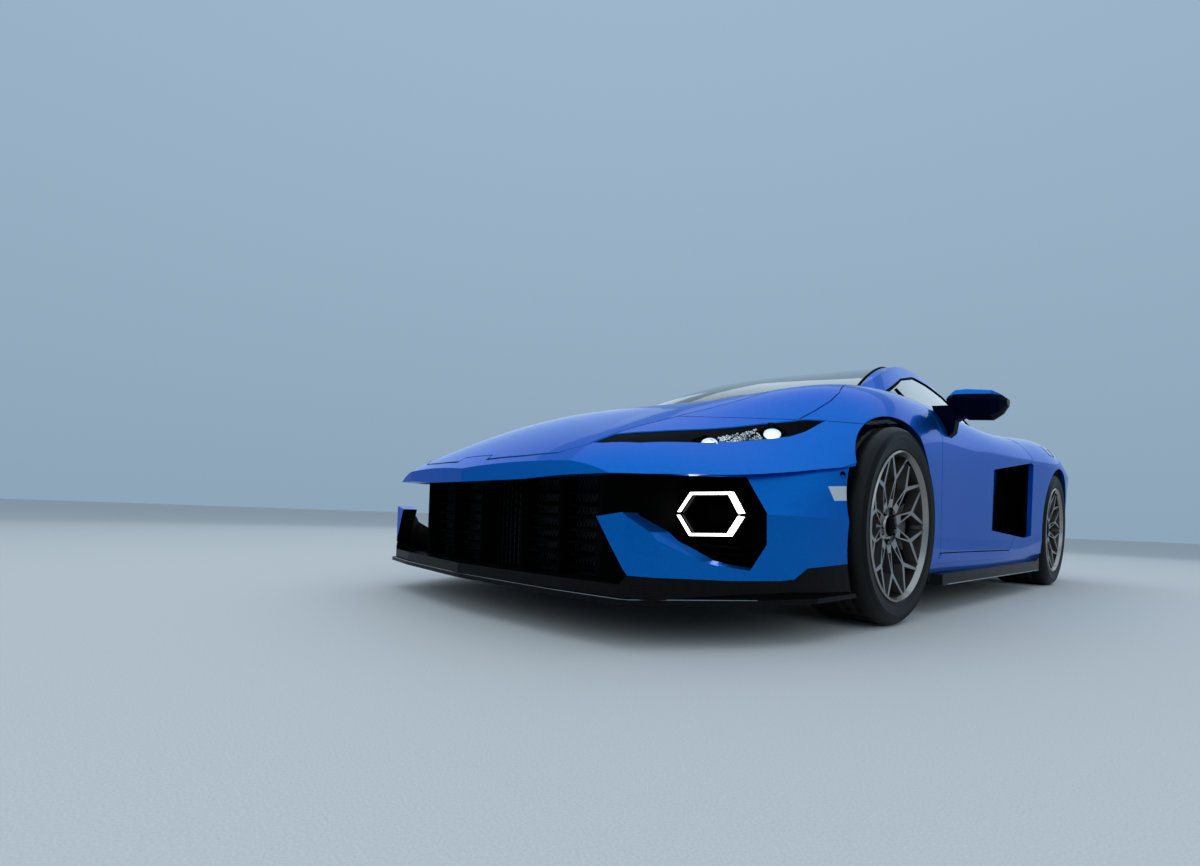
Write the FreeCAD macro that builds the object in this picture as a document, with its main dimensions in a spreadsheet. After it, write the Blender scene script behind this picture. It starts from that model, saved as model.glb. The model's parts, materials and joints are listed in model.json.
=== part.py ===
"""Two-seat, mid-engined supercar, modelled as separate panels, glass, wheels and running gear.

Millimetres. The nose points to -Y, +X is the car's left and +Z is up. The origin is on the ground
below the middle of the overall length. The outer form is one hull lofted through named stations and
one greenhouse lofted over it, which shut lines then part into the panels of the real car.
"""

import FreeCAD
import Part
import Sketcher
import math
import os

V = FreeCAD.Vector
doc = FreeCAD.newDocument("supercar")
sheet = doc.addObject("Spreadsheet::Sheet", "Car")

# The driving dimensions: name, value
DIMENSIONS = [
    ("overall_length", 4706),
    ("front_overhang", 1150),
    ("wheelbase", 2658),
    ("half_width", 998),
    ("roof_height", 1201),
    ("skin", 24),
    ("roof_wall", 38),
    ("glass_wall", 6),
    ("panel_gap", 5),
    ("floor_height", 130),
    ("floor_wall", 40),
    ("sill_top", 236),
    ("side_depth", 256),
    ("bulkhead_setback", 443),
    ("cabin_length", 1400),
    ("bulkhead_wall", 40),
    ("front_tyre_radius", 343),
    ("front_tyre_width", 255),
    ("front_rim_radius", 271),
    ("front_wheel_inset", 136),
    ("rear_tyre_radius", 364),
    ("rear_tyre_width", 300),
    ("rear_rim_radius", 284),
    ("rear_wheel_inset", 160),
    ("arch_clearance", 38),
    ("liner_wall", 8),
    ("well_depth", 438),
    ("door_setback", 481),
    ("hinge_inset", 73),
    ("hinge_radius", 75),
    ("hinge_pin", 10),
    ("spoke_count", 10),
    ("disc_radius", 190),
    ("disc_wall", 32),
    ("splitter_wall", 14),
    ("splitter_height", 116),
    ("seat_width", 500),
    ("seat_x", 360),
    ("steering_wheel_radius", 178),
    ("steering_wheel_setback", 430),
    ("steering_wheel_z", 690),
    ("engine_length", 620),
    ("engine_width", 640),
    ("engine_height", 520),
]
for row, (name, value) in enumerate(DIMENSIONS, start=1):
    sheet.set(f"A{row}", name)
    sheet.set(f"B{row}", str(value))
    sheet.setAlias(f"B{row}", name)
doc.recompute()


class Sizes:
    """Reads a driving dimension from the sheet by its name."""

    def __getattr__(self, name):
        return float(getattr(sheet, name))


S = Sizes()
NOSE = -S.overall_length / 2
TAIL = S.overall_length / 2
FRONT_AXLE = NOSE + S.front_overhang
REAR_AXLE = FRONT_AXLE + S.wheelbase
CABIN_FRONT = FRONT_AXLE + S.bulkhead_setback
CABIN_REAR = CABIN_FRONT + S.cabin_length
CABIN_X = S.half_width - S.side_depth
DOOR_FRONT = FRONT_AXLE + S.door_setback
HINGE_X = S.half_width - S.hinge_inset
FRONT_WHEEL_X = S.half_width - S.front_wheel_inset
REAR_WHEEL_X = S.half_width - S.rear_wheel_inset
WELL_X = S.half_width - S.well_depth
WIDE = S.half_width + 400
CABIN_FRONT_TEXT = "-Car.overall_length / 2 + Car.front_overhang + Car.bulkhead_setback"
SKY = S.roof_height + 200
GAP = S.panel_gap
SUBPARTS = {}


def add(name, shape):
    """Puts a shape made from sections and shut lines in the document as a sub-part."""
    feature = doc.addObject("Part::Feature", name)
    feature.Label = name
    feature.Shape = shape
    feature.Placement = FreeCAD.Placement()
    SUBPARTS[name] = feature
    return feature


def add_mirror(name, source):
    """The right-hand piece, as the mirror image of the left-hand one."""
    feature = doc.addObject("Part::Mirroring", name)
    feature.Label = name
    feature.Source = source
    feature.Normal = V(1, 0, 0)
    SUBPARTS[name] = feature
    return feature


def add_pair(name, shape):
    left = add(f"{name}_left", shape)
    add_mirror(f"{name}_right", left)
    return left


def bind(obj, **expressions):
    """Binds properties of an object to expressions on the sheet."""
    for prop, text in expressions.items():
        obj.setExpression(prop.replace("__", "."), text)
    return obj


def new_body(name, x, y, z):
    """A body whose origin lies at a bound place in the car."""
    body = doc.addObject("PartDesign::Body", name)
    body.Label = name
    bind(body, Placement__Base__x=x, Placement__Base__y=y, Placement__Base__z=z)
    SUBPARTS[name] = body
    return body


def new_sketch(body, name, role, *outlines):
    """Closed outlines on a plane of the body, each corner held by two bound distances."""
    sketch = body.newObject("Sketcher::SketchObject", name)
    plane = next(f for f in body.Origin.OriginFeatures if f.Role == role)
    sketch.AttachmentSupport = (plane, [""])
    sketch.MapMode = "FlatFace"
    for corners in outlines:
        values = [[sheet_value(body, text) for text in corner] for corner in corners]
        first = sketch.GeometryCount
        count = len(corners)
        for i in range(count):
            a, b = values[i], values[(i + 1) % count]
            sketch.addGeometry(Part.LineSegment(V(a[0], a[1], 0), V(b[0], b[1], 0)), False)
        for i in range(count):
            sketch.addConstraint(Sketcher.Constraint("Coincident", first + i, 2, first + (i + 1) % count, 1))
        for i, corner in enumerate(corners):
            for kind, axis, text, value in zip(("DistanceX", "DistanceY"), (-2, -1), corner, values[i]):
                if text == "0":
                    sketch.addConstraint(Sketcher.Constraint("PointOnObject", first + i, 1, axis))
                else:
                    index = sketch.addConstraint(Sketcher.Constraint(kind, -1, 1, first + i, 1, value))
                    sketch.setExpression(f"Constraints[{index}]", text)
    return sketch


def sheet_value(body, text):
    result = body.evalExpression(text)
    return float(getattr(result, "Value", result))


def turned(body, name, sketch):
    """A full turn of an outline about the body's X axis."""
    feature = body.newObject("PartDesign::Revolution", name)
    feature.Profile = sketch
    feature.ReferenceAxis = (sketch, ["H_Axis"])
    feature.Angle = 360
    return feature


def mirrored(shape):
    """The same shape on the car's right-hand side."""
    return shape.mirror(V(0, 0, 0), V(1, 0, 0))


def both(shape):
    """The shape and its mirror image as one compound of separate solids."""
    return Part.makeCompound(list(shape.Solids) + list(mirrored(shape).Solids))


def joined(shapes):
    """One solid from touching or overlapping ones."""
    return shapes[0].multiFuse(shapes[1:]).removeSplitter()


def box(x0, x1, y0, y1, z0, z1):
    return Part.makeBox(x1 - x0, y1 - y0, z1 - z0, V(x0, y0, z0))


def line(a, b):
    return Part.LineSegment(a, b).toShape()


def arc(a, b, c):
    return Part.Arc(a, b, c).toShape()


def prism(points, low, high, axis):
    """A closed outline swept along an axis: outlines are (x, y) along z, (y, z) along x, (x, z) along y."""
    place = {
        "x": lambda a, b: V(low, a, b),
        "y": lambda a, b: V(a, low, b),
        "z": lambda a, b: V(a, b, low),
    }[axis]
    along = {"x": V(1, 0, 0), "y": V(0, 1, 0), "z": V(0, 0, 1)}[axis] * (high - low)
    corners = [place(a, b) for a, b in points]
    return Part.Face(Part.makePolygon(corners + corners[:1])).extrude(along)


def leaning(points, low, high, level, slope):
    """A plan outline swept upwards while it leans forwards, true to the outline at one level."""
    shift = slope * (level - low)
    corners = [V(a, b + shift, low) for a, b in points]
    face = Part.Face(Part.makePolygon(corners + corners[:1]))
    return face.extrude(V(0, -slope * (high - low), high - low))


def symmetric(half):
    """A closed outline from its left half, listed from the centre line round to the centre line."""
    return half + [(-a, b) for a, b in reversed(half) if a > 0]


def grown(points, by):
    """A closed outline with each of its sides moved outwards by a distance."""
    after = points[1:] + points[:1]
    before = points[-1:] + points[:-1]
    area = sum(a[0] * b[1] - b[0] * a[1] for a, b in zip(points, after))
    step = math.copysign(by, area)
    moved = []
    for last, here, following in zip(before, points, after):
        into = V(here[0] - last[0], here[1] - last[1], 0).normalize()
        out = V(following[0] - here[0], following[1] - here[1], 0).normalize()
        reach = step / (1 + into.dot(out))
        moved.append((here[0] + reach * (into.y + out.y), here[1] - reach * (into.x + out.x)))
    return moved


def rod(a, b, radius):
    """A round bar between two points."""
    return Part.makeCylinder(radius, (b - a).Length, a, b - a)


def largest(shape):
    return max(shape.Solids, key=lambda s: s.Volume)


# Hull stations, front to rear. Insets are taken inwards from the body's half width; the tuck is how far
# the side is drawn in below the bumper's crease.
# columns: anchor, offset, top z, edge inset, edge z, crest inset, crest z, side inset, side z,
#          low inset, low z, base inset, base z, tuck
HULL = [
    ("nose", -50, 440, 528, 404, 378, 362, 258, 290, 238, 260, 248, 130, 0),
    ("nose", 153, 588, 518, 555, 364, 502, 250, 430, 222, 340, 232, 130, 14),
    ("nose", 453, 722, 630, 688, 330, 598, 148, 474, 114, 360, 124, 130, 24),
    ("front", -400, 794, 598, 778, 254, 690, 50, 514, 32, 350, 52, 130, 22),
    ("front", 0, 876, 438, 858, 152, 822, 22, 640, 14, 300, 40, 130, 0),
    ("front", 400, 935, 298, 906, 122, 848, 40, 690, 34, 262, 52, 130, 0),
    ("rear", -1455, 905, 178, 876, 93, 826, 50, 710, 43, 250, 48, 130, 0),
    ("rear", -855, 930, 198, 893, 90, 856, 33, 725, 30, 250, 43, 130, 0),
    ("rear", -355, 960, 258, 933, 93, 905, 10, 750, 13, 300, 33, 130, 0),
    ("rear", 0, 970, 298, 950, 103, 924, 0, 745, 3, 320, 23, 140, 0),
    ("rear", 445, 948, 348, 934, 136, 900, 23, 745, 33, 400, 68, 240, 0),
    ("tail", 47, 895, 398, 893, 218, 873, 93, 760, 108, 500, 148, 380, 0),
]
# Greenhouse stations; drops are taken downwards from the roof.
# columns: anchor, offset, centre drop, rail inset, rail drop, base inset, base z
GREENHOUSE = [
    ("front", 3, 331, 478, 386, 358, 760),
    ("front", 203, 212, 358, 320, 218, 770),
    ("front", 553, 103, 343, 178, 186, 790),
    ("front", 1053, 14, 418, 28, 182, 790),
    ("rear", -1305, 0, 434, 16, 183, 790),
    ("rear", -855, 24, 456, 48, 196, 800),
    ("rear", -255, 134, 493, 165, 263, 830),
    ("rear", 345, 250, 543, 266, 358, 830),
]


def station_y(anchor, offset):
    return {"nose": NOSE, "front": FRONT_AXLE, "rear": REAR_AXLE, "tail": TAIL}[anchor] + offset


def hull_section(row, inset, tucked):
    """One closed hull station, drawn inset by a wall from the outer surface."""
    anchor, offset, top_z, edge_in, edge_z, crest_in, crest_z = row[:7]
    side_in, side_z, low_in, low_z, base_in, base_z, tuck = row[7:]
    y = station_y(anchor, offset)
    side_in += tuck * tucked
    edge = (S.half_width - edge_in - inset * 0.3, edge_z - inset)
    crest = (S.half_width - crest_in - inset * 0.45, crest_z - inset)
    side = (S.half_width - side_in - inset, side_z - inset * 0.4)
    low = (S.half_width - low_in - inset, low_z)
    base = (S.half_width - base_in - inset, base_z + inset)

    def at(point, sign=1):
        return V(sign * point[0], y, point[1])

    return Part.Wire(
        [
            arc(at(edge, -1), V(0, y, top_z - inset), at(edge)),
            arc(at(edge), at(crest), at(side)),
            line(at(side), at(low)),
            line(at(low), at(base)),
            line(at(base), at(base, -1)),
            line(at(base, -1), at(low, -1)),
            line(at(low, -1), at(side, -1)),
            arc(at(side, -1), at(crest, -1), at(edge, -1)),
        ]
    )


def hull_loft(inset=0.0, tucked=0):
    return Part.makeLoft([hull_section(row, inset, tucked) for row in HULL], True, False)


def greenhouse_section(row, inset):
    anchor, offset, drop, rail_in, rail_drop, base_in, base_z = row
    y = station_y(anchor, offset)
    top = S.roof_height - drop - inset
    rail = (S.half_width - rail_in - 0.7 * inset, S.roof_height - rail_drop - inset)
    base = (S.half_width - base_in - 1.25 * inset, base_z - 0.5 * inset)
    return Part.Wire(
        [
            arc(V(-rail[0], y, rail[1]), V(0, y, top), V(rail[0], y, rail[1])),
            line(V(rail[0], y, rail[1]), V(base[0], y, base[1])),
            line(V(base[0], y, base[1]), V(-base[0], y, base[1])),
            line(V(-base[0], y, base[1]), V(-rail[0], y, rail[1])),
        ]
    )


def greenhouse_loft(inset=0.0):
    return Part.makeLoft([greenhouse_section(row, inset) for row in GREENHOUSE], True, False)


# Plan outline of the nose and tail, left half
PLAN = [
    (0, NOSE),
    (S.half_width - 498, NOSE + 50),
    (S.half_width - 298, NOSE + 84),
    (S.half_width - 208, NOSE + 150),
    (S.half_width - 168, NOSE + 260),
    (WIDE, NOSE + 900),
    (WIDE, TAIL - 500),
    (S.half_width - 118, TAIL - 110),
    (S.half_width - 398, TAIL - 25),
    (0, TAIL),
]
INNER_PLAN = [
    (0, NOSE + 60),
    (S.half_width - 298, NOSE + 140),
    (WIDE, NOSE + 900),
    (WIDE, TAIL - 500),
    (S.half_width - 298, TAIL - 90),
    (0, TAIL - 60),
]
hull = hull_loft().common(prism(symmetric(PLAN), 0, SKY, "z"))
hull_inside = hull_loft(S.skin).common(prism(symmetric(INNER_PLAN), 0, SKY, "z"))
greenhouse = greenhouse_loft()
greenhouse_inside = greenhouse_loft(S.roof_wall)
glass_inside = greenhouse_loft(S.glass_wall)

FRONT_ARCH = S.front_tyre_radius + S.arch_clearance
REAR_ARCH = S.rear_tyre_radius + S.arch_clearance
WELLS = (
    (FRONT_AXLE, S.front_tyre_radius, FRONT_ARCH),
    (REAR_AXLE, S.rear_tyre_radius, REAR_ARCH),
)


def drum(axle_y, hub_z, radius, x0, x1):
    return Part.makeCylinder(radius, x1 - x0, V(x0, axle_y, hub_z), V(1, 0, 0))


wells = [drum(y, z, radius, WELL_X, WIDE) for y, z, radius in WELLS]
arches = Part.makeCompound(wells + [mirrored(w) for w in wells])

# The side scoop: a wedge that dives inwards along the door, and the duct behind its blade
SCOOP_START = REAR_AXLE - 1405
BLADE_Y = REAR_AXLE - 660
DUCT_END = REAR_AXLE - 440
scoop_plan = [
    (WIDE, SCOOP_START - 140),
    (S.half_width - 43, SCOOP_START),
    (822, BLADE_Y - 150),
    (816, DUCT_END),
    (915, DUCT_END),
    (S.half_width - 65, BLADE_Y + 20),
    (WIDE, BLADE_Y + 20),
]
scoop_side = [
    (SCOOP_START - 40, 345),
    (SCOOP_START - 30, 640),
    (BLADE_Y - 30, 742),
    (BLADE_Y + 30, 735),
    (DUCT_END + 5, 700),
    (DUCT_END + 5, 340),
    (BLADE_Y - 130, 308),
]
scoop = prism(scoop_plan, 200, 900, "z").common(prism(scoop_side, 600, WIDE, "x"))
shell = hull.cut(hull_inside).cut(Part.makeCompound([arches, scoop, mirrored(scoop)]))

# The bonnet's shut line in plan, left half, with the notch at its front
BONNET = [
    (0, NOSE + 65),
    (91, NOSE + 65),
    (97, NOSE + 41),
    (280, NOSE + 57),
    (420, NOSE + 81),
    (484, NOSE + 134),
    (493, NOSE + 333),
    (510, NOSE + 553),
    (586, FRONT_AXLE - 286),
    (650, FRONT_AXLE),
    (690, FRONT_AXLE + 200),
    (640, FRONT_AXLE + 160),
    (0, FRONT_AXLE - 20),
]
bonnet_plan = symmetric(BONNET)
bonnet_hole = prism(grown(bonnet_plan, GAP), 380, SKY, "z")

# Headlamp in plan, left side: the upper edge out to the tip, then the lower edge back
LAMP = [
    (490, NOSE + 150),
    (496, NOSE + 235),
    (556, NOSE + 321),
    (630, NOSE + 466),
    (720, FRONT_AXLE - 492),
    (791, FRONT_AXLE - 370),
    (846, FRONT_AXLE - 297),
    (838, FRONT_AXLE - 344),
    (829, FRONT_AXLE - 405),
    (812, FRONT_AXLE - 466),
    (769, FRONT_AXLE - 566),
    (691, NOSE + 391),
    (600, NOSE + 233),
    (520, NOSE + 162),
]
# Lamp pockets: plan x, plan y, width, length
LAMP_POCKETS = [
    (692, NOSE + 419, 62, 70),
    (768, FRONT_AXLE - 498, 62, 86),
]
lamp_hole = prism(LAMP, 380, 900, "z")
both_lamp_holes = Part.makeCompound([lamp_hole, mirrored(lamp_hole)])
lamp = lamp_hole.common(hull_loft(3)).cut(hull_loft(46))
pockets = [box(x - w / 2, x + w / 2, y - d / 2, y + d / 2, 400, 900) for x, y, w, d in LAMP_POCKETS]
pocket_cut = Part.makeCompound(pockets).cut(hull_loft(26))
add("headlamps", both(largest(lamp.cut(pocket_cut))))

# The black lip and its raised end fins, seen from the side
LIP = [
    (NOSE - 100, 60),
    (NOSE - 100, 192),
    (NOSE + 92, 190),
    (NOSE + 350, 178),
    (FRONT_AXLE - 637, 176),
    (FRONT_AXLE - 588, 180),
    (FRONT_AXLE - 541, 211),
    (FRONT_AXLE - 303, 226),
    (FRONT_AXLE - 240, 226),
    (FRONT_AXLE - 240, 60),
]
# The crease that runs from the mouth's upper corner to the wheel arch, and all below it
CREASE = [
    (NOSE - 100, 440),
    (NOSE + 150, 452),
    (NOSE + 371, 465),
    (NOSE + 462, 474),
    (FRONT_AXLE - 574, 488),
    (FRONT_AXLE - 454, 506),
    (FRONT_AXLE - 316, 525),
    (FRONT_AXLE + 10, 560),
    (FRONT_AXLE + 10, 40),
    (NOSE - 100, 40),
]
# The mouth of the front fascia, left half, seen from the front, with the fin that stands in it
MOUTH = [
    (0, 437),
    (303, 441),
    (473, 450),
    (709, 454),
    (784, 460),
    (824, 464),
    (883, 362),
    (882, 277),
    (862, 205),
    (823, 220),
    (806, 230),
    (752, 303),
    (690, 351),
    (607, 338),
    (656, 265),
    (708, 192),
    (690, 165),
    (0, 165),
]
# Plan of the wing between the bonnet and the lamp, ahead of the wheel
WING = [
    (400, NOSE + 100),
    (490, NOSE + 150),
    (496, NOSE + 235),
    (556, NOSE + 321),
    (630, NOSE + 466),
    (720, FRONT_AXLE - 492),
    (791, FRONT_AXLE - 370),
    (846, FRONT_AXLE - 297),
    (WIDE, FRONT_AXLE - 297),
    (WIDE, DOOR_FRONT + 60),
    (400, DOOR_FRONT + 60),
]
below_crease = prism(CREASE, -WIDE, WIDE, "x")
nose_zone = box(-WIDE, WIDE, NOSE - 60, FRONT_AXLE, 0, SKY)
nose_plan = prism(symmetric(PLAN), 0, SKY, "z").common(nose_zone)
above = hull.common(nose_zone).cut(below_crease)
below = hull_loft(0, 1).common(nose_plan).common(below_crease)
nose = above.fuse(below).cut(hull_inside)
upper_wing = box(0, WIDE, NOSE, FRONT_AXLE, 677, SKY)
behind_arch = box(0, WIDE, FRONT_AXLE, DOOR_FRONT + 60, S.sill_top - 20, SKY)
wing_zone = prism(WING, 200, SKY, "z").common(upper_wing.fuse(behind_arch))
bumper_gap = prism(grown(WING, 1.5), 200, SKY, "z").common(box(0, WIDE, NOSE, FRONT_AXLE + 1, 675.5, SKY))
mouth = prism(symmetric(MOUTH), NOSE - 100, NOSE + 700, "y")
lip_zone = prism(LIP, -WIDE, WIDE, "x")
MARKER = [(FRONT_AXLE - 442, 454), (FRONT_AXLE - 290, 464), (FRONT_AXLE - 297, 420), (FRONT_AXLE - 430, 411)]
marker = largest(nose.common(prism(MARKER, 800, WIDE, "x")).cut(arches))
front_bumper = largest(nose.cut(arches).cut(Part.makeCompound([bonnet_hole, both_lamp_holes])))
front_bumper = front_bumper.cut(mouth).cut(lip_zone)
front_bumper = front_bumper.cut(Part.makeCompound([bumper_gap, mirrored(bumper_gap)]))
front_bumper = largest(front_bumper.cut(both(marker)))
add("front_bumper", front_bumper)

lid_plan = symmetric(BONNET[:6] + [(900, NOSE + 134), (900, FRONT_AXLE + 500), (0, FRONT_AXLE + 500)])
lid_zone = prism(bonnet_plan, 430, SKY, "z").common(leaning(lid_plan, 300, SKY, 525, 0.36))
add("bonnet", largest(hull.common(lid_zone).cut(hull_loft(S.skin)).cut(greenhouse)))

hinge_y = DOOR_FRONT + math.sqrt(S.hinge_radius ** 2 - 25 ** 2)
swing = Part.makeCylinder(S.hinge_radius + GAP, SKY, V(HINGE_X, hinge_y, 0))
wing_end = box(0, HINGE_X, DOOR_FRONT - 12, DOOR_FRONT + 100, 0, SKY).fuse(swing)
fender = shell.common(wing_zone).cut(Part.makeCompound([bonnet_hole, lamp_hole])).cut(greenhouse_inside)
groove_plan = [(786, FRONT_AXLE - 369), (799, FRONT_AXLE - 289), (807, FRONT_AXLE - 202), (800, FRONT_AXLE - 124),
               (740, FRONT_AXLE + 60), (744, FRONT_AXLE + 60), (804, FRONT_AXLE - 123), (811, FRONT_AXLE - 202),
               (803, FRONT_AXLE - 290), (790, FRONT_AXLE - 370)]
groove = prism(groove_plan, 600, SKY, "z").cut(hull_loft(6))
add_pair("fender", largest(fender.cut(wing_end).cut(groove)))

# Doors: as thick as the whole door, from the skin to the cabin, with a stepped rear edge
DOOR = [
    (DOOR_FRONT - 40, S.sill_top + 8),
    (DOOR_FRONT - 40, SKY),
    (BLADE_Y - 215, SKY),
    (BLADE_Y - 215, 895),
    (BLADE_Y - 4, 772),
    (BLADE_Y - 60, 728),
    (BLADE_Y - 120, 560),
    (BLADE_Y - 328, 318),
    (BLADE_Y - 425, S.sill_top + 8),
]
DOOR_STEP = [(y - 16, z) for y, z in DOOR[2:]] + [(BLADE_Y - 100, 0), (BLADE_Y + 200, 0), (BLADE_Y + 200, SKY)]
# The pocket inside the door card, open to the cabin: side view
DOOR_CARD = [
    (DOOR_FRONT + 150, 330),
    (DOOR_FRONT + 120, 640),
    (BLADE_Y - 330, 640),
    (BLADE_Y - 380, 330),
]
door_zone = prism(DOOR, CABIN_X + 8, WIDE, "x")
door_nose = box(HINGE_X, WIDE, DOOR_FRONT - 60, hinge_y, 0, SKY).cut(
    Part.makeCylinder(S.hinge_radius, SKY, V(HINGE_X, hinge_y, 0)))
door_inner = box(0, HINGE_X, DOOR_FRONT - 60, hinge_y - S.hinge_radius, 0, SKY)
door_back = prism(DOOR_STEP, 0, 925, "x")
door_card = prism(DOOR_CARD, CABIN_X, CABIN_X + 62, "x")
hinge_bore = rod(V(HINGE_X, hinge_y, S.sill_top - 20), V(HINGE_X, hinge_y, S.sill_top + 48),
                 S.hinge_pin + 0.3)
door = hull.common(door_zone).cut(Part.makeCompound([scoop, wells[0], hinge_bore])).cut(glass_inside)
add_pair("door", largest(door.cut(Part.makeCompound([door_nose, door_inner])).cut(door_back).cut(door_card)))

# Engine cover between the buttresses, seen in plan, left half
COVER_FRONT = CABIN_REAR + 185
DECK = [
    (0, COVER_FRONT),
    (556, COVER_FRONT),
    (548, REAR_AXLE + 100),
    (508, TAIL - 180),
    (0, TAIL - 180),
]
REAR_GLASS = [
    (0, COVER_FRONT + 70),
    (430, COVER_FRONT + 70),
    (330, REAR_AXLE + 60),
    (0, REAR_AXLE + 60),
]
deck_plan = symmetric(DECK)
deck_hole = prism(grown(deck_plan, GAP), 600, SKY, "z")
rear_roof = box(-WIDE, WIDE, COVER_FRONT, REAR_AXLE + 345, 700, SKY)
rear_house = greenhouse.common(rear_roof).cut(hull).cut(greenhouse_inside)
LEAN_PLAN = [(0, COVER_FRONT - 400), (900, COVER_FRONT - 400), (900, TAIL - 180), (0, TAIL - 180)]
deck_lean = leaning(symmetric(LEAN_PLAN), 500, SKY, 890, -0.22)
deck = hull.common(prism(deck_plan, 700, SKY, "z")).cut(hull_loft(S.skin)).cut(greenhouse_inside)
cover = rear_house.common(prism(deck_plan, 600, SKY, "z")).fuse(deck).common(deck_lean)
glass_plan = symmetric(REAR_GLASS)
cover = cover.cut(prism(glass_plan, 600, SKY, "z"))
louvres = [box(-300, 300, y, y + 60, 800, SKY) for y in (REAR_AXLE + 120, REAR_AXLE + 215, REAR_AXLE + 310)]
add("engine_cover", largest(cover.cut(Part.makeCompound(louvres))))
rear_glass = greenhouse.common(prism(glass_plan, 900, SKY, "z")).cut(glass_inside).cut(hull)
add("rear_glass", largest(rear_glass))

# Quarter panels behind the doors, with the blade of the intake and the buttress beside the engine cover
door_hole = prism(grown(DOOR, GAP), 0, WIDE, "x")
rear_zone = box(400, WIDE, BLADE_Y - 460, TAIL + 50, S.sill_top - 20, SKY)
tail_zone = box(-WIDE, WIDE, TAIL - 240, TAIL + 50, 0, SKY)
quarter = shell.common(rear_zone).cut(greenhouse_inside)
quarter = quarter.fuse(rear_house.common(box(0, WIDE, COVER_FRONT, TAIL, 700, SKY)))
quarter = largest(quarter.cut(Part.makeCompound([door_hole])).cut(deck_hole).cut(tail_zone))
add_pair("quarter", quarter)

# The outline of a lamp's hexagon about its middle
HEXAGON = [(-124, -1), (-71, 66), (78, 66), (121, 1), (78, -62), (-69, -68)]


def hexagon(middle, factor, low, high):
    """A hexagonal prism along Y about a middle (x, z)."""
    return prism([(middle[0] + a * factor, middle[1] + b * factor) for a, b in HEXAGON], low, high, "y")


# Tail: fascia with its ducktail and dark opening, the lamps, outlet and slats in that, and the diffuser below
TAIL_OPENING = [(0, 786), (735, 786), (800, 712), (735, 560), (640, 496), (0, 496)]
OUTLET = [(0, 690), (136, 690), (178, 628), (136, 560), (0, 560)]
OUTLET_BORE = [(0, 676), (126, 676), (160, 628), (126, 574), (0, 574)]
TAIL_LAMP = (610, 700)
lamp_face = TAIL - 84
opening = prism(symmetric(TAIL_OPENING), TAIL - 300, TAIL + 60, "y")
outlet = prism(symmetric(OUTLET), TAIL - 160, TAIL - 14, "y")
SPOILER = [(TAIL - 236, 860), (TAIL - 12, 880), (TAIL - 4, 936), (TAIL - 30, 930), (TAIL - 236, 898)]
ducktail = prism(SPOILER, -800, 800, "x").cut(hull).cut(deck_hole).common(prism(symmetric(PLAN), 0, SKY, "z"))
fascia = shell.common(tail_zone).cut(deck_hole).cut(opening)
add("rear_fascia", largest(fascia))
add("rear_spoiler", largest(ducktail))
add("exhaust_outlet", outlet.cut(prism(symmetric(OUTLET_BORE), TAIL - 140, TAIL, "y")))
tail_ring = hexagon(TAIL_LAMP, 1, lamp_face - 16, lamp_face)
tail_ring = tail_ring.cut(hexagon(TAIL_LAMP, 0.8, lamp_face - 20, lamp_face + 6))
add("tail_lamps", both(tail_ring))
frame_out = prism(grown(symmetric(TAIL_OPENING), 10), TAIL - 190, TAIL + 60, "y")
tail_frame = frame_out.cut(opening).common(hull_inside)
tail_back = prism(grown(symmetric(TAIL_OPENING), 10), TAIL - 198, TAIL - 190, "y")
tail_slats = [box(-760, 760, TAIL - 192, TAIL - 150, z, z + 6) for z in range(520, 745, 28)]
slat_zone = prism(grown(symmetric(TAIL_OPENING), 2), TAIL - 300, TAIL, "y")
tail_slats = Part.makeCompound(tail_slats).common(slat_zone)
tail_pod = hexagon(TAIL_LAMP, 1.06, TAIL - 194, lamp_face - 16)
tail_pod = tail_pod.cut(hexagon(TAIL_LAMP, 0.76, lamp_face - 60, lamp_face))
tail_parts = [tail_back, tail_frame, tail_pod, mirrored(tail_pod)] + list(tail_slats.Solids)
tail_grille = largest(joined(tail_parts).cut(outlet))
DIFFUSER = [(TAIL - 420, 132), (TAIL - 70, 330), (TAIL - 70, 470), (TAIL - 420, 330)]
FIN = [(TAIL - 380, 120), (TAIL - 100, 150), (TAIL - 66, 210), (TAIL - 66, 360), (TAIL - 380, 200)]
fins = [prism(FIN, x - 5, x + 5, "x") for x in (-560, -400, -240, -80, 80, 240, 400, 560)]
END_PLATE = [(TAIL - 420, 132), (TAIL - 80, 190), (TAIL - 80, 470), (TAIL - 420, 330)]
side_plates = [prism(END_PLATE, x, x + 20, "x") for x in (-720, 700)]
add("rear_diffuser", largest(joined([prism(DIFFUSER, -700, 700, "x")] + fins + side_plates).cut(hull)))

# Roof frame, windscreen and side glass
WINDSCREEN = [
    (0, FRONT_AXLE - 10),
    (600, FRONT_AXLE + 160),
    (672, FRONT_AXLE + 340),
    (640, FRONT_AXLE + 480),
    (528, FRONT_AXLE + 1000),
    (0, FRONT_AXLE + 1020),
]
SIDE_WINDOW = [
    (DOOR_FRONT + 10, 780),
    (DOOR_FRONT + 10, 925),
    (FRONT_AXLE + 850, S.roof_height - 139),
    (FRONT_AXLE + 1120, S.roof_height - 72),
    (REAR_AXLE - 1305, S.roof_height - 69),
    (REAR_AXLE - 1000, S.roof_height - 89),
    (REAR_AXLE - 800, S.roof_height - 139),
    (BLADE_Y - 20, S.roof_height - 241),
    (BLADE_Y - 20, 780),
]
screen_hole = prism(symmetric(WINDSCREEN), 700, SKY, "z")
window_hole = prism(grown(SIDE_WINDOW, GAP), 300, WIDE, "x")
cabin_zone = box(-WIDE, WIDE, FRONT_AXLE - 100, COVER_FRONT - GAP, 700, SKY)
frame = greenhouse.cut(greenhouse_inside).common(cabin_zone).cut(hull)
add("roof_frame", largest(frame.cut(Part.makeCompound([screen_hole, window_hole, mirrored(window_hole)]))))
add("windscreen", largest(greenhouse.common(screen_hole).cut(glass_inside).cut(hull)))
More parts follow.
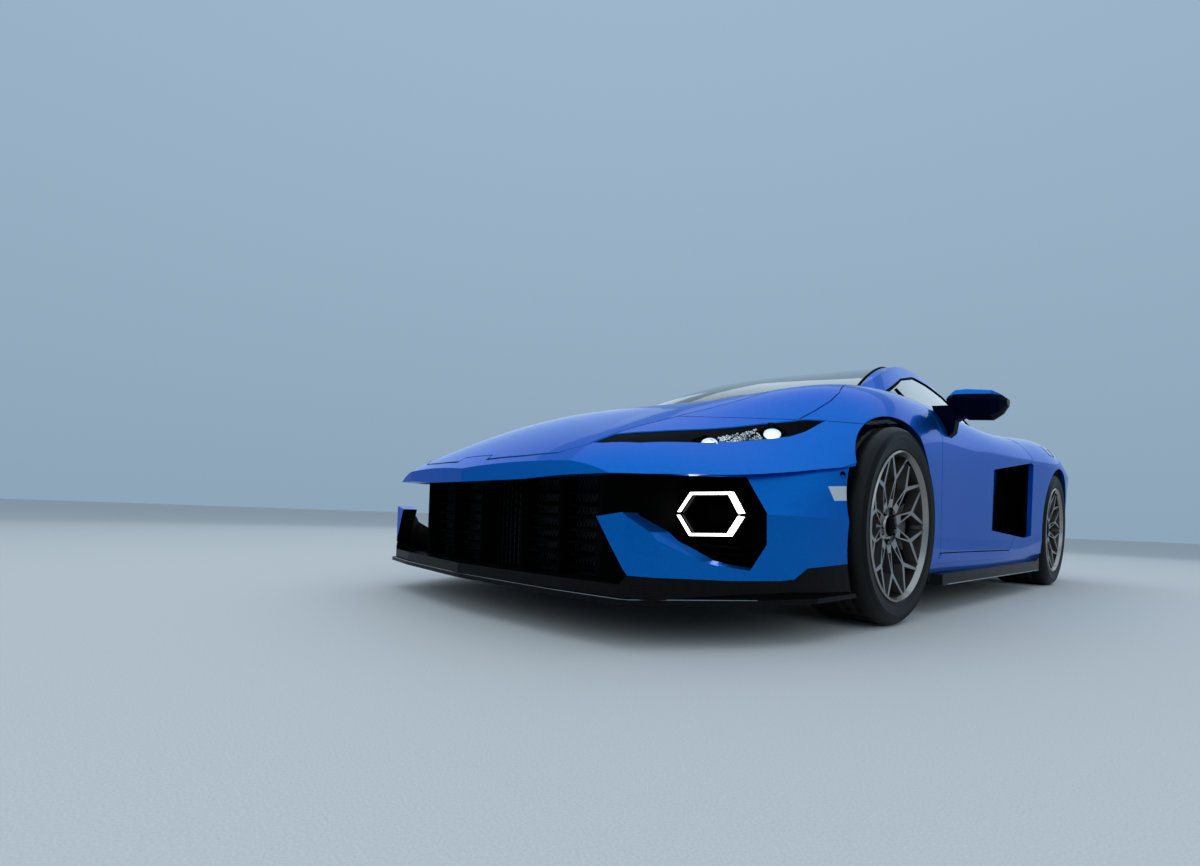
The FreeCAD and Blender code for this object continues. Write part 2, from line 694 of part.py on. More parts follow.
window = greenhouse.common(prism(SIDE_WINDOW, 300, WIDE, "x")).cut(glass_inside).cut(hull)
add_pair("side_glass", largest(window))

# Splitter: the black lip under the fascia with its raised end fins, on a flat blade
BLADE = [
    (0, NOSE + 1),
    (480, NOSE + 36),
    (715, NOSE + 74),
    (905, NOSE + 400),
    (968, FRONT_AXLE - 560),
    (968, FRONT_AXLE - 300),
    (900, FRONT_AXLE - 330),
    (640, FRONT_AXLE - 330),
    (600, FRONT_AXLE - 420),
    (0, FRONT_AXLE - 420),
]
lip = nose.common(lip_zone).cut(Part.makeCompound([arches, mouth]))
blade = prism(symmetric(BLADE), S.splitter_height, S.splitter_height + S.splitter_wall, "z").cut(arches)
splitter = joined([largest(lip), blade]).cut(box(-2000, 2000, -3000, 3000, 0, S.splitter_height))
add("front_splitter", largest(splitter.cut(front_bumper)))

# Side skirts with a blade that turns up at its rear
skirt_plan = [
    (S.half_width - 64, -788),
    (S.half_width - 12, -770),
    (S.half_width - 6, 940),
    (S.half_width - 20, 1030),
    (S.half_width - 64, 1034),
]
skirt_side = [
    (-800, S.splitter_height),
    (1040, S.splitter_height),
    (1040, S.splitter_height + 98),
    (880, 176),
    (-800, 160),
]
skirt = prism(skirt_plan, 100, 300, "z").common(prism(skirt_side, 800, WIDE, "x"))
add("side_skirts", both(largest(skirt.cut(hull))))

# Inside the mouth: slats, posts and mesh of the middle grille, and the pods that carry the day lamps
lamp_y = NOSE + 453
DAY_LAMP = (694, 357)
ring = hexagon(DAY_LAMP, 1, lamp_y - 14, lamp_y).cut(hexagon(DAY_LAMP, 0.84, lamp_y - 20, lamp_y + 10))
ring = ring.cut(box(500, 900, lamp_y - 30, lamp_y + 30, 352, 362))
pod = hexagon(DAY_LAMP, 1.06, lamp_y, lamp_y + 70).cut(hexagon(DAY_LAMP, 0.8, lamp_y - 10, lamp_y + 40))
add("day_lamps", Part.makeCompound(both(ring).Solids + both(marker).Solids))
GRILLE_TOP = 478
backing = box(540, 930, lamp_y + 60, lamp_y + 72, 130, GRILLE_TOP)
pod_slats = [box(588, 800, lamp_y - 24, lamp_y + 62, z, z + 6) for z in (204, 222, 240, 258)]
wall = prism([(520, NOSE + 150), (540, NOSE + 150), (560, lamp_y + 72), (540, lamp_y + 72)], 130, GRILLE_TOP, "z")
GRILLE_Y = NOSE + 190
SLAT = [(0, 0), (60, 12), (60, 19), (0, 7)]
slats = [prism([(GRILLE_Y + a, z + b) for a, b in SLAT], 134, 530, "x") for z in range(176, 405, 38)]
posts = [box(x - 5, x + 5, GRILLE_Y - 30, GRILLE_Y + 60, 130, GRILLE_TOP) for x in (130, 335)]
uprights = [box(x - 1.5, x + 1.5, GRILLE_Y + 20, GRILLE_Y + 30, 130, GRILLE_TOP) for x in range(-104, 105, 26)]
wires = [box(-125, 125, GRILLE_Y + 22, GRILLE_Y + 28, z - 1.5, z + 1.5) for z in range(154, GRILLE_TOP, 26)]
half_parts = [backing, pod, wall] + pod_slats + slats + posts
grille = joined(uprights + wires + half_parts + [mirrored(p) for p in half_parts])
grille = largest(grille.common(hull_loft(3).common(prism(symmetric(PLAN), 0, SKY, "z"))).cut(
    hull.common(nose_zone).cut(hull_inside).cut(mouth)))
side_duct = prism(grown(scoop_plan, 10), 190, 910, "z").common(prism(grown(scoop_side, 10), 590, WIDE, "x"))
side_duct = largest(side_duct.cut(scoop).common(hull_inside).cut(door_hole))
add("grille_frame", Part.makeCompound([grille, tail_grille, side_duct, mirrored(side_duct)]))

# Tub: floor, sills, bulkheads, tunnel and jacking pads
floor_top = S.floor_height + S.floor_wall
floor_low = S.floor_height + S.skin
tub_parts = [
    box(-720, 720, FRONT_AXLE + 60, REAR_AXLE + 500, floor_low, floor_top),
    box(-720, 720, CABIN_FRONT - S.bulkhead_wall, CABIN_FRONT, floor_top, 770),
    box(-720, 720, CABIN_REAR, CABIN_REAR + S.bulkhead_wall, floor_top, 900),
    box(-110, 110, CABIN_FRONT, CABIN_REAR, floor_top, 330),
    box(720, 900, DOOR_FRONT - 90, DOOR_FRONT - 20, floor_top, 760),
    box(-900, -720, DOOR_FRONT - 90, DOOR_FRONT - 20, floor_top, 760),
    box(720, 790, CABIN_REAR + 190, CABIN_REAR + 240, floor_top, 860),
    box(-790, -720, CABIN_REAR + 190, CABIN_REAR + 240, floor_top, 860),
    box(-720, 720, CABIN_REAR + 190, CABIN_REAR + 240, floor_top, 560),
]
tub = joined(tub_parts).cut(arches).common(hull_inside)
sill = box(700, 1000, FRONT_AXLE + FRONT_ARCH + 8, REAR_AXLE - REAR_ARCH - 8, S.floor_height, S.sill_top - 20)
sill = sill.common(hull)
pads = [box(x - 45, x + 45, y - 60, y + 60, S.splitter_height, S.floor_height + 30) for x in (-800, 800)
        for y in (DOOR_FRONT, REAR_AXLE - 500)]
pin = rod(V(HINGE_X, hinge_y, S.floor_height + 20), V(HINGE_X, hinge_y, S.sill_top + 44), S.hinge_pin)
add("tub", largest(joined([tub, sill, mirrored(sill), pin, mirrored(pin)] + pads)))

# Wheel liners: the inner half drum of each well
liners = []
for axle_y, hub_z, radius in WELLS:
    x0 = WELL_X
    liner = drum(axle_y, hub_z, radius + S.liner_wall, x0 - S.liner_wall, x0 + 250)
    liner = liner.cut(drum(axle_y, hub_z, radius, x0, WIDE))
    liner = liner.cut(box(0, WIDE, axle_y - 500, axle_y + 500, 0, 210))
    liner = liner.cut(Part.makeCompound(tub_parts[:1]))
    liners += list(largest(liner.common(hull_inside)).Solids)
liners += [mirrored(liner) for liner in liners]
add("wheel_liners", Part.makeCompound(liners))

# Subframes: the luggage box ahead of the cabin and the rails beside the engine
front_end = CABIN_FRONT - S.bulkhead_wall
rear_end = REAR_AXLE + 640
luggage = box(-490, 490, FRONT_AXLE - 780, front_end, 240, 600)
luggage = luggage.cut(box(-478, 478, FRONT_AXLE - 768, front_end - 12, 252, 700))
buffers = [rod(V(x, FRONT_AXLE - 200, 560), V(x, FRONT_AXLE - 200, SKY), 12).common(hull_loft(S.skin + 0.3))
           for x in (-484, 484)]
braces = [box(x0, x1, FRONT_AXLE - 60, FRONT_AXLE + 60, 240, 560) for x0, x1 in ((490, 552), (-552, -490))]
front_frame = joined([joined([luggage] + braces).common(hull_loft(S.skin + 12))] + buffers)
rails = [box(x0, x1, CABIN_REAR + 240, rear_end, floor_top, 290) for x0, x1 in ((430, 552), (-552, -430))]
crossbar = box(-690, 690, rear_end, rear_end + 60, floor_top, 620)
props = [rod(V(x, rear_end + 30, 560), V(x, rear_end + 30, SKY), 12).common(hull_loft(S.skin + 0.3))
         for x in (-400, 400)]
rear_frame = joined([joined(rails + [crossbar]).common(hull_inside).cut(arches)] + props)
add("subframes", Part.makeCompound([largest(front_frame), largest(rear_frame)]))
# Wheels: tyre, and a rim with its hub, brake disc and ten forked spokes of two thin blades each
for end in ("front", "rear"):
    axle = "-Car.overall_length / 2 + Car.front_overhang" + (" + Car.wheelbase" if end == "rear" else "")
    radius = f"Car.{end}_tyre_radius"
    half = f"Car.{end}_tyre_width / 2"
    inner = f"Car.{end}_rim_radius"
    place = (f"Car.half_width - Car.{end}_wheel_inset", axle, radius)
    body = new_body(f"tyre_{end}_left", *place)
    outline = new_sketch(body, f"tyre_{end}_profile", "XY_Plane", [
        (f"-({half} - 14)", f"{inner} - 10"),
        (f"-{half}", f"({radius} + {inner}) / 2"),
        (f"-({half} - 9)", f"{radius} - 14"),
        (f"-({half} - 32)", radius),
        (f"{half} - 32", radius),
        (f"{half} - 9", f"{radius} - 14"),
        (half, f"({radius} + {inner}) / 2"),
        (f"{half} - 14", f"{inner} - 10"),
    ])
    turned(body, f"tyre_{end}_turned", outline)
    add_mirror(f"tyre_{end}_right", body)

    body = new_body(f"rim_{end}_left", *place)
    outline = new_sketch(body, f"rim_{end}_profile", "XY_Plane", [
        (f"-({half} - 6)", f"{inner} - 10"),
        (f"{half} - 8", f"{inner} - 10"),
        (f"{half} - 4", f"{inner} - 16"),
        (f"{half} - 22", f"{inner} - 24"),
        (f"-({half} - 24)", f"{inner} - 24"),
        (f"-({half} - 6)", f"{inner} - 16"),
    ])
    turned(body, f"rim_{end}_barrel", outline)
    outline = new_sketch(body, f"rim_{end}_centre", "XY_Plane", [
        (f"{half} - 92", "0"),
        (f"{half} - 92", "78"),
        (f"{half} - 60", "82"),
        (f"{half} - 54", "40"),
        (f"{half} - 46", "34"),
        (f"{half} - 46", "0"),
    ])
    turned(body, f"rim_{end}_hub", outline)
    outline = new_sketch(body, f"rim_{end}_disc_profile", "XY_Plane", [
        (f"{half} - 125", "0"),
        (f"{half} - 125", "Car.disc_radius"),
        (f"{half} - 125 + Car.disc_wall", "Car.disc_radius"),
        (f"{half} - 125 + Car.disc_wall", "70"),
        (f"{half} - 88", "70"),
        (f"{half} - 88", "0"),
    ])
    turned(body, f"rim_{end}_disc", outline)
    spoke = new_sketch(body, f"rim_{end}_spoke_profile", "YZ_Plane", [
        ("-19", "66"),
        ("-7", f"{inner} * 0.6"),
        ("-76", f"{inner} - 26"),
        ("-67", f"{inner} - 23"),
        ("0", f"{inner} * 0.655"),
        ("67", f"{inner} - 23"),
        ("76", f"{inner} - 26"),
        ("7", f"{inner} * 0.6"),
        ("19", "66"),
    ], [
        ("-11", "94"),
        ("-1.5", f"{inner} * 0.55"),
        ("1.5", f"{inner} * 0.55"),
        ("11", "94"),
    ])
    bind(spoke, AttachmentOffset__Base__z=f"{half} - 62")
    pad = body.newObject("PartDesign::Pad", f"rim_{end}_spoke")
    pad.Profile = spoke
    pad.Length = 42
    pattern = body.newObject("PartDesign::PolarPattern", f"rim_{end}_spokes")
    pattern.Originals = [pad]
    pattern.Axis = (next(f for f in body.Origin.OriginFeatures if f.Role == "X_Axis"), [""])
    pattern.Angle = 360
    bind(pattern, Occurrences="Car.spoke_count")
    body.Tip = pattern
    doc.recompute()
    dish = new_sketch(body, f"rim_{end}_dish_profile", "XY_Plane", [
        (f"{half}", "42"),
        (f"{half} - 52", "42"),
        (f"{half} - 46", "84"),
        (f"{half} - 20", f"{inner} - 24"),
        (f"{half}", f"{inner} - 24"),
    ])
    groove = body.newObject("PartDesign::Groove", f"rim_{end}_dish")
    groove.Profile = dish
    groove.ReferenceAxis = (dish, ["H_Axis"])
    groove.Angle = 360
    body.Tip = groove
    add_mirror(f"rim_{end}_right", body)

# Knuckles with their callipers and stub axles; the rear ones are fixed beside their wishbones
for end, half in (("front", S.front_tyre_width / 2), ("rear", S.rear_tyre_width / 2)):
    x = (FRONT_WHEEL_X if end == "front" else REAR_WHEEL_X) + half - 125
    y, z, _ = WELLS[0] if end == "front" else WELLS[1]
    upright = prism([(y - 46, z - 60), (y - 30, z - 140), (y + 30, z - 140), (y + 46, z - 60), (y + 46, z + 60),
                     (y + 26, z + 140), (y - 26, z + 140), (y - 46, z + 60)], x - 70, x - 34, "x")
    calliper = Part.makeCylinder(212, 118, V(x - 64, y, z), V(1, 0, 0)).cut(
        Part.makeCylinder(118, 200, V(x - 100, y, z), V(1, 0, 0)))
    calliper = calliper.common(prism([(y, z), (y + 260, z - 120), (y + 260, z + 120)], x - 80, x + 80, "x"))
    calliper = calliper.cut(rod(V(x - 8, y, z), V(x + S.disc_wall + 8, y, z), S.disc_radius + 6))
    bridge = box(x - 64, x - 34, y + 20, y + 160, z - 34, z + 34)
    knuckle = joined([rod(V(x - 70, y, z), V(x - 0.5, y, z), 60), upright, calliper, bridge])
    arms = []
    for level in (z - 154.5, z + 154.5):
        tip = (x - 50, y)
        outline = [(WELL_X, y - 130), (WELL_X, y - 90), (tip[0] - 40, y - 8), (tip[0] - 40, y + 8),
                   (WELL_X, y + 90), (WELL_X, y + 130), (tip[0] + 20, y + 24), (tip[0] + 20, y - 24)]
        arms.append(prism(outline, level - 14, level + 14, "z"))
    if end == "front":
        add_pair("knuckle_front", knuckle)
        add("front_suspension", both(Part.makeCompound(arms)))
    else:
        add("rear_suspension", both(Part.makeCompound([knuckle] + arms)))

# Mirrors: a tapered shell on a stalk from the door
MIRROR = [
    # x, y middle, z middle, half length, half height
    (942, -636, 872, 24, 16),
    (972, -624, 866, 60, 46),
    (1010, -606, 854, 66, 60),
    (1085, -560, 850, 62, 58),
    (1108, -530, 856, 44, 40),
    (1123, -500, 868, 24, 14),
]
MIRROR_RIM = [(-1, 0.35), (-0.55, 1), (0.8, 1), (1, 0.6), (0.9, -0.8), (0.2, -1), (-0.6, -0.75)]
shells = []
for x, y, z, length, height in MIRROR:
    rim = [V(x, y + a * length, z + b * height) for a, b in MIRROR_RIM]
    shells.append(Part.makePolygon(rim + rim[:1]))
mirror_head = Part.makeLoft(shells, True, True)
STALK = [(880, 862), (900, 800), (940, 720), (966, 742), (972, 790), (1010, 808), (960, 856)]
stalk = prism(STALK, -634, -584, "y")
glass_recess = prism([(1000, 812), (1000, 892), (1092, 892), (1100, 830), (1080, 812)], -545, -480, "y")
add_pair("mirror", largest(joined([mirror_head, stalk]).cut(hull).cut(glass_recess)))

# Seats: cushion, bolsters, backrest and headrest
seat_half = S.seat_width / 2 - 20
SEAT = [
    # part: side outline, inner offset, outer offset from the seat's middle
    ([(-360, floor_top), (-360, 330), (-330, 350), (70, 300), (120, floor_top)], -0.62, 0.62),
    ([(-340, floor_top), (-340, 370), (-60, 380), (120, 330), (120, floor_top)], 0.62, 1.0),
    ([(60, 300), (196, 820), (262, 812), (240, 560), (170, 300), (120, floor_top), (60, floor_top)], -0.62, 0.62),
    ([(20, 330), (120, 760), (250, 760), (240, 560), (170, 300), (120, floor_top), (60, floor_top)], 0.62, 1.0),
    ([(196, 800), (212, 905), (262, 900), (262, 790)], -0.4, 0.4),
]
seat_parts = []
for outline, inner, outer in SEAT:
    seat_parts.append(prism(outline, S.seat_x + inner * seat_half, S.seat_x + outer * seat_half, "x"))
    if inner > 0:
        seat_parts.append(prism(outline, S.seat_x - outer * seat_half, S.seat_x - inner * seat_half, "x"))
add("seats", both(joined(seat_parts)))

# Dashboard with its binnacle, console and steering column
lean = math.radians(65)
column_axis = V(0, math.sin(lean), math.cos(lean))
wheel_y = CABIN_FRONT + S.steering_wheel_setback
wheel_centre = V(S.seat_x, wheel_y, S.steering_wheel_z)
column = rod(wheel_centre - column_axis * 190, wheel_centre - column_axis * 25.3, 32)
dash_side = [(CABIN_FRONT, 560), (CABIN_FRONT, 770), (-640, 806), (-470, 800), (-430, 740), (-450, 640), (-560, 540)]
binnacle = prism([(-560, 790), (-540, 836), (-440, 830), (-430, 790)], S.seat_x - 150, S.seat_x + 150, "x")
console = prism([(-600, 330), (-600, 600), (-500, 620), (-380, 480), (-100, 420), (300, 410), (560, 440), (560, 330)],
                -110, 110, "x")
add("dashboard", joined([prism(dash_side, -700, 700, "x"), column, binnacle, console]))

# Steering wheel: rim, hub and three spokes
wheel_place = f"{CABIN_FRONT_TEXT} + Car.steering_wheel_setback"
body = new_body("steering_wheel", "Car.seat_x", wheel_place, "Car.steering_wheel_z")
body.Placement = FreeCAD.Placement(wheel_centre, FreeCAD.Rotation(V(1, 0, 0), -65))
grip = new_sketch(body, "steering_rim_profile", "XZ_Plane", [
    ("Car.steering_wheel_radius - 15", "-6"),
    ("Car.steering_wheel_radius - 6", "-15"),
    ("Car.steering_wheel_radius + 8", "-13"),
    ("Car.steering_wheel_radius + 15", "0"),
    ("Car.steering_wheel_radius + 8", "13"),
    ("Car.steering_wheel_radius - 6", "15"),
    ("Car.steering_wheel_radius - 15", "6"),
])
ring_turn = body.newObject("PartDesign::Revolution", "steering_rim")
ring_turn.Profile = grip
ring_turn.ReferenceAxis = (grip, ["V_Axis"])
ring_turn.Angle = 360
boss = new_sketch(body, "steering_boss_profile", "XY_Plane", [
    ("-56", "-62"), ("-74", "10"), ("-60", "48"), ("60", "48"), ("74", "10"), ("56", "-62"),
])
bind(boss, AttachmentOffset__Base__z="-25")
boss_pad = body.newObject("PartDesign::Pad", "steering_boss")
boss_pad.Profile = boss
boss_pad.Length = 34
arm_sketch = new_sketch(body, "steering_spoke_profile", "XY_Plane", [
    ("-(Car.steering_wheel_radius - 8)", "-6"),
    ("-(Car.steering_wheel_radius - 8)", "34"),
    ("-50", "22"),
    ("50", "22"),
    ("Car.steering_wheel_radius - 8", "34"),
    ("Car.steering_wheel_radius - 8", "-6"),
    ("30", "-30"),
    ("20", "-(Car.steering_wheel_radius - 8)"),
    ("-20", "-(Car.steering_wheel_radius - 8)"),
    ("-30", "-30"),
])
bind(arm_sketch, AttachmentOffset__Base__z="-7")
arm_pad = body.newObject("PartDesign::Pad", "steering_spokes")
arm_pad.Profile = arm_sketch
arm_pad.Length = 12

# Engine: one block amidships behind the cabin
engine = doc.addObject("Part::Box", "engine_block")
engine.Label = "engine_block"
bind(engine, Length="Car.engine_width", Width="Car.engine_length", Height="Car.engine_height",
     Placement__Base__x="-Car.engine_width / 2",
     Placement__Base__y=f"{CABIN_FRONT_TEXT} + Car.cabin_length + Car.bulkhead_wall + 220",
     Placement__Base__z="Car.floor_height + Car.floor_wall")
SUBPARTS["engine_block"] = engine

doc.recompute()
for obj in doc.Objects:
    if "Invalid" in obj.State or "Error" in obj.State:
        raise RuntimeError(f"{obj.Name} did not build: {obj.State}")
for name, feature in SUBPARTS.items():
    if feature.Shape.isNull() or not feature.Shape.isValid():
        raise RuntimeError(f"{name} has no valid shape")
    print(name, len(feature.Shape.Solids), round(feature.Shape.Volume / 1e6, 2))

os.makedirs("parts", exist_ok=True)
for old in os.listdir("parts"):
    os.remove(os.path.join("parts", old))
for name, feature in SUBPARTS.items():
    feature.Shape.exportStep(f"parts/{name}.step")
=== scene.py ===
"""Looks of the supercar: paint, glass, lamps, wheels, grilles, cabin, studio and camera."""
import bpy
import bmesh
import json
import math
from mathutils import Matrix, Vector
from mathutils.bvhtree import BVHTree


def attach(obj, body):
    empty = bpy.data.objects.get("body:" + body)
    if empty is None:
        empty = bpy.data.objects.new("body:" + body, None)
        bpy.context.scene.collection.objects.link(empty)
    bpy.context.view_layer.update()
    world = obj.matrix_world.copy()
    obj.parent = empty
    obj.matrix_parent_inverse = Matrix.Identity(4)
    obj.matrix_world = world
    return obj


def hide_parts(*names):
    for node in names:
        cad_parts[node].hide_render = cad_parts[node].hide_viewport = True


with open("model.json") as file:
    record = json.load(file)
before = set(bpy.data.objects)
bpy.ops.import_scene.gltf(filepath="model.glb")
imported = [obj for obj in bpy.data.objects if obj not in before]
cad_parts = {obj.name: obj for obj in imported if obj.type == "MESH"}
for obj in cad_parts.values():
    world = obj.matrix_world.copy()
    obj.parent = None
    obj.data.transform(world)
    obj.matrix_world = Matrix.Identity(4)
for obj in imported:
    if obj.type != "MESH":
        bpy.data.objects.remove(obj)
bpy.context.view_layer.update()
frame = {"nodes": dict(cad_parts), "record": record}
NODES = frame["nodes"]
COLLECTION = bpy.context.scene.collection


# Places and sizes in the row frame, in metres: the nose points to -Y, and +X is the left-hand side

SIDES = (("left", 1), ("right", -1))
# columns: y of the axle, height of the hub, which is the tyre's radius too, middle and width of the tyre,
# radius of the rim
WHEELS = {
    "front": (-1.203, 0.343, 0.862, 0.255, 0.271),
    "rear": (1.455, 0.364, 0.838, 0.300, 0.284),
}
# columns: x, z of the lamps' outline about their middle
HEXAGON = [(-0.124, -0.001), (-0.071, 0.066), (0.078, 0.066), (0.121, 0.001), (0.078, -0.062),
           (-0.069, -0.068)]
DAY_LAMP = (0.694, 0.357)
TAIL_LAMP = (0.610, 0.700)
# where the rays start that lay pieces on the body's surfaces: x, y and z
BESIDE, AHEAD, OVERHEAD = 1.3, -2.6, 1.6
PAINT_DEEP = (0.0, 0.050, 0.30)
PAINT_BRIGHT = (0.0, 0.215, 0.70)


# Node materials

def new_material(name):
    """A material with its node tree and its shader."""
    material = bpy.data.materials.new(name)
    material.use_nodes = True
    return material, *layers(material)


def layers(material):
    """The node tree of a material and its first shader."""
    return material.node_tree, material.node_tree.nodes["Principled BSDF"]


def connect(tree, socket, value):
    """Links an input to another node's output, or sets it to a value."""
    if isinstance(value, bpy.types.NodeSocket):
        tree.links.new(value, socket)
    else:
        socket.default_value = value


def set_inputs(tree, node, **values):
    """Sets or links a node's inputs by name."""
    for key, value in values.items():
        connect(tree, node.inputs[key.replace("_", " ")], value)


def add_node(tree, kind, *inputs, **values):
    """Adds a node: its inputs in their order or by name, its own properties by name."""
    node = tree.nodes.new(kind)
    for socket, value in zip(node.inputs, inputs):
        connect(tree, socket, value)
    for key, value in values.items():
        if hasattr(node, key):
            setattr(node, key, value)
        else:
            set_inputs(tree, node, **{key: value})
    return node


def object_coords(tree):
    return tree.nodes.new("ShaderNodeTexCoord").outputs["Object"]


def noise(tree, vector, scale, detail):
    return add_node(tree, "ShaderNodeTexNoise", Vector=vector, Scale=scale, Detail=detail).outputs["Fac"]


def ramp(tree, factor, low, high, start=0.3, end=0.7):
    """Two colours spread over a factor."""
    node = add_node(tree, "ShaderNodeValToRGB", factor)
    for element, place, colour in zip(node.color_ramp.elements, (start, end), (low, high)):
        element.position = place
        element.color = (*colour, 1)
    return node.outputs["Color"]


def bump(tree, shader, height, distance):
    """Raises a shader's surface by a height field."""
    node = add_node(tree, "ShaderNodeBump", Height=height, Distance=distance)
    set_inputs(tree, shader, Normal=node.outputs["Normal"])


def map_range(tree, value, **limits):
    """Maps a value from one range onto another; both are 0 to 1 unless given."""
    return add_node(tree, "ShaderNodeMapRange", Value=value, **limits).outputs["Result"]


def math_node(tree, operation, *values):
    """A maths node on sockets or numbers."""
    return add_node(tree, "ShaderNodeMath", *values, operation=operation).outputs[0]


def position(tree, space="Object"):
    """The three coordinates of a surface point in the row frame, or those of another space."""
    coords = tree.nodes.new("ShaderNodeTexCoord")
    split = add_node(tree, "ShaderNodeSeparateXYZ", coords.outputs[space])
    return split.outputs["X"], split.outputs["Y"], split.outputs["Z"]


# Masks: 1 where their words hold and 0 elsewhere

def above(tree, value, limit, blur=0.002):
    return map_range(tree, value, From_Min=limit - blur, From_Max=limit + blur)


def inverse(tree, mask):
    return math_node(tree, "SUBTRACT", 1.0, mask)


def below(tree, value, limit, blur=0.002):
    return inverse(tree, above(tree, value, limit, blur))


def both(tree, first, second):
    return math_node(tree, "MULTIPLY", first, second)


def between(tree, value, low, high, blur=0.0005):
    return both(tree, above(tree, value, low, blur), below(tree, value, high, blur))


def mixed_with(tree, shader, mask, colour, **values):
    """Shows a second shader of the given base colour where the mask is 1."""
    second = add_node(tree, "ShaderNodeBsdfPrincipled", Base_Color=(*colour, 1), **values)
    mix = add_node(tree, "ShaderNodeMixShader", mask, shader.outputs[0], second.outputs[0])
    set_inputs(tree, tree.nodes["Material Output"], Surface=mix.outputs[0])
    return second


def soft_edges(material, radius):
    """Lets sharp edges catch the light like small radii, below the bump where there is one."""
    tree, shader = layers(material)
    edge = add_node(tree, "ShaderNodeBevel", Radius=radius, samples=4)
    bumps = [node for node in tree.nodes if node.type == "BUMP"]
    set_inputs(tree, bumps[0] if bumps else shader, Normal=edge.outputs["Normal"])


# Kinds of material

def paint(name):
    """Metallic lacquer: coloured flakes below a clear coat, with faint orange peel and a sheen."""
    material, tree, shader = new_material(name)
    vector = object_coords(tree)
    flakes = add_node(tree, "ShaderNodeTexVoronoi", Vector=vector, Scale=1400.0)
    facing = add_node(tree, "ShaderNodeLayerWeight", Blend=0.5).outputs["Facing"]
    set_inputs(
        tree, shader,
        Base_Color=ramp(tree, flakes.outputs["Color"], PAINT_DEEP, PAINT_BRIGHT, 0.0, 1.0),
        Roughness=map_range(tree, flakes.outputs["Distance"], To_Min=0.24, To_Max=0.36),
        Coat_Weight=map_range(tree, facing, From_Min=0.45, From_Max=0.95, To_Min=0.12, To_Max=0.62),
        Metallic=0.85, Coat_Roughness=0.03, Coat_IOR=1.4, Specular_Tint=(0.01, 0.42, 1.0, 1))
    bump(tree, shader, noise(tree, vector, 90.0, 1.0), 0.00002)
    return material


def plastic(name, low, high, gloss=(0.3, 0.45), grain=900.0, depth=0.00003, **values):
    """Moulded plastic, rubber, cast metal or hide: two close colours, uneven gloss and a fine grain."""
    material, tree, shader = new_material(name)
    vector = object_coords(tree)
    cloud, wear = noise(tree, vector, 6.0, 4.0), noise(tree, vector, 25.0, 3.0)
    set_inputs(
        tree, shader,
        Base_Color=ramp(tree, cloud, low, high),
        Roughness=map_range(tree, wear, To_Min=gloss[0], To_Max=gloss[1]),
        Coat_Roughness=0.05, **values)
    bump(tree, shader, noise(tree, vector, grain, 2.0), depth)
    return material


def carbon(name):
    """Gloss black composite with a twill weave under clear lacquer."""
    material, tree, shader = new_material(name)
    vector = object_coords(tree)
    twill = add_node(tree, "ShaderNodeTexWave", Vector=vector, bands_direction="DIAGONAL", Scale=70.0)
    weft = add_node(tree, "ShaderNodeTexChecker", Vector=vector, Scale=260.0)
    weave = both(tree, twill.outputs["Fac"], weft.outputs["Fac"])
    set_inputs(
        tree, shader,
        Base_Color=ramp(tree, weave, (0.001, 0.001, 0.0012), (0.007, 0.007, 0.008), 0.0, 1.0),
        Roughness=map_range(tree, weave, To_Min=0.28, To_Max=0.42),
        Coat_Weight=0.22, Coat_Roughness=0.02, Coat_IOR=1.4, Specular_IOR_Level=0.04, IOR=1.15)
    return material


def glass(name, tint, roughness=0.0, transmission=1.0):
    """Glass with a faint film of dust that only dulls its gloss."""
    material, tree, shader = new_material(name)
    film = noise(tree, object_coords(tree), 14.0, 5.0)
    set_inputs(
        tree, shader,
        Base_Color=ramp(tree, film, tint, tuple(c * 1.15 for c in tint)),
        Roughness=map_range(tree, film, To_Min=roughness, To_Max=roughness + 0.02),
        Transmission_Weight=transmission, IOR=1.46, Coat_Weight=0.8, Coat_IOR=1.9)
    return material


def glow(name, colour, strength):
    """A lit lamp surface with the unevenness of its diffuser."""
    material, tree, shader = new_material(name)
    cells = noise(tree, object_coords(tree), 120.0, 1.0)
    set_inputs(
        tree, shader,
        Emission_Color=ramp(tree, cells, tuple(c * 0.92 for c in colour), colour),
        Base_Color=(*colour, 1), Emission_Strength=strength, Roughness=0.2)
    return material


def grey(level):
    return (level, level, level)


BLUE = paint("blue_paint")
CARBON = carbon("carbon")
soft_edges(BLUE, 0.004)
soft_edges(CARBON, 0.003)
GLOSS_BLACK = plastic("gloss_black", (0.004, 0.004, 0.005), (0.008, 0.008, 0.009), gloss=(0.12, 0.2),
                      grain=300.0, depth=0.00001, Coat_Weight=1.0)
LAMP_BLACK = plastic("lamp_black", (0.002, 0.002, 0.003), (0.004, 0.004, 0.005), gloss=(0.10, 0.16),
                     grain=300.0, depth=0.000005, Specular_IOR_Level=0.12, IOR=1.06)
SATIN_BLACK = plastic("satin_black", grey(0.0015), grey(0.0035), gloss=(0.42, 0.58),
                      Specular_IOR_Level=0.04, IOR=1.10)
LINER_BLACK = plastic("liner_black", grey(0.005), grey(0.010), gloss=(0.7, 0.9), grain=500.0, depth=0.0001)
NET_GREY = plastic("net_grey", (0.030, 0.031, 0.034), (0.050, 0.052, 0.056))
# lighter grey for the strips on the splitter's and skirts' edges: a painted highlight along those edges
EDGE = plastic("edge_painted_highlight", (0.10, 0.11, 0.12), (0.18, 0.19, 0.20), gloss=(0.15, 0.25),
               grain=300.0, depth=0.00001, Coat_Weight=1.0, Metallic=0.6)
RUBBER = plastic("rubber", grey(0.004), grey(0.008), gloss=(0.42, 0.56), grain=700.0, depth=0.00006,
                 Specular_IOR_Level=0.15)
HIDE = plastic("black_hide", (0.012, 0.012, 0.014), (0.024, 0.024, 0.027), gloss=(0.45, 0.6),
               grain=350.0, depth=0.00015)
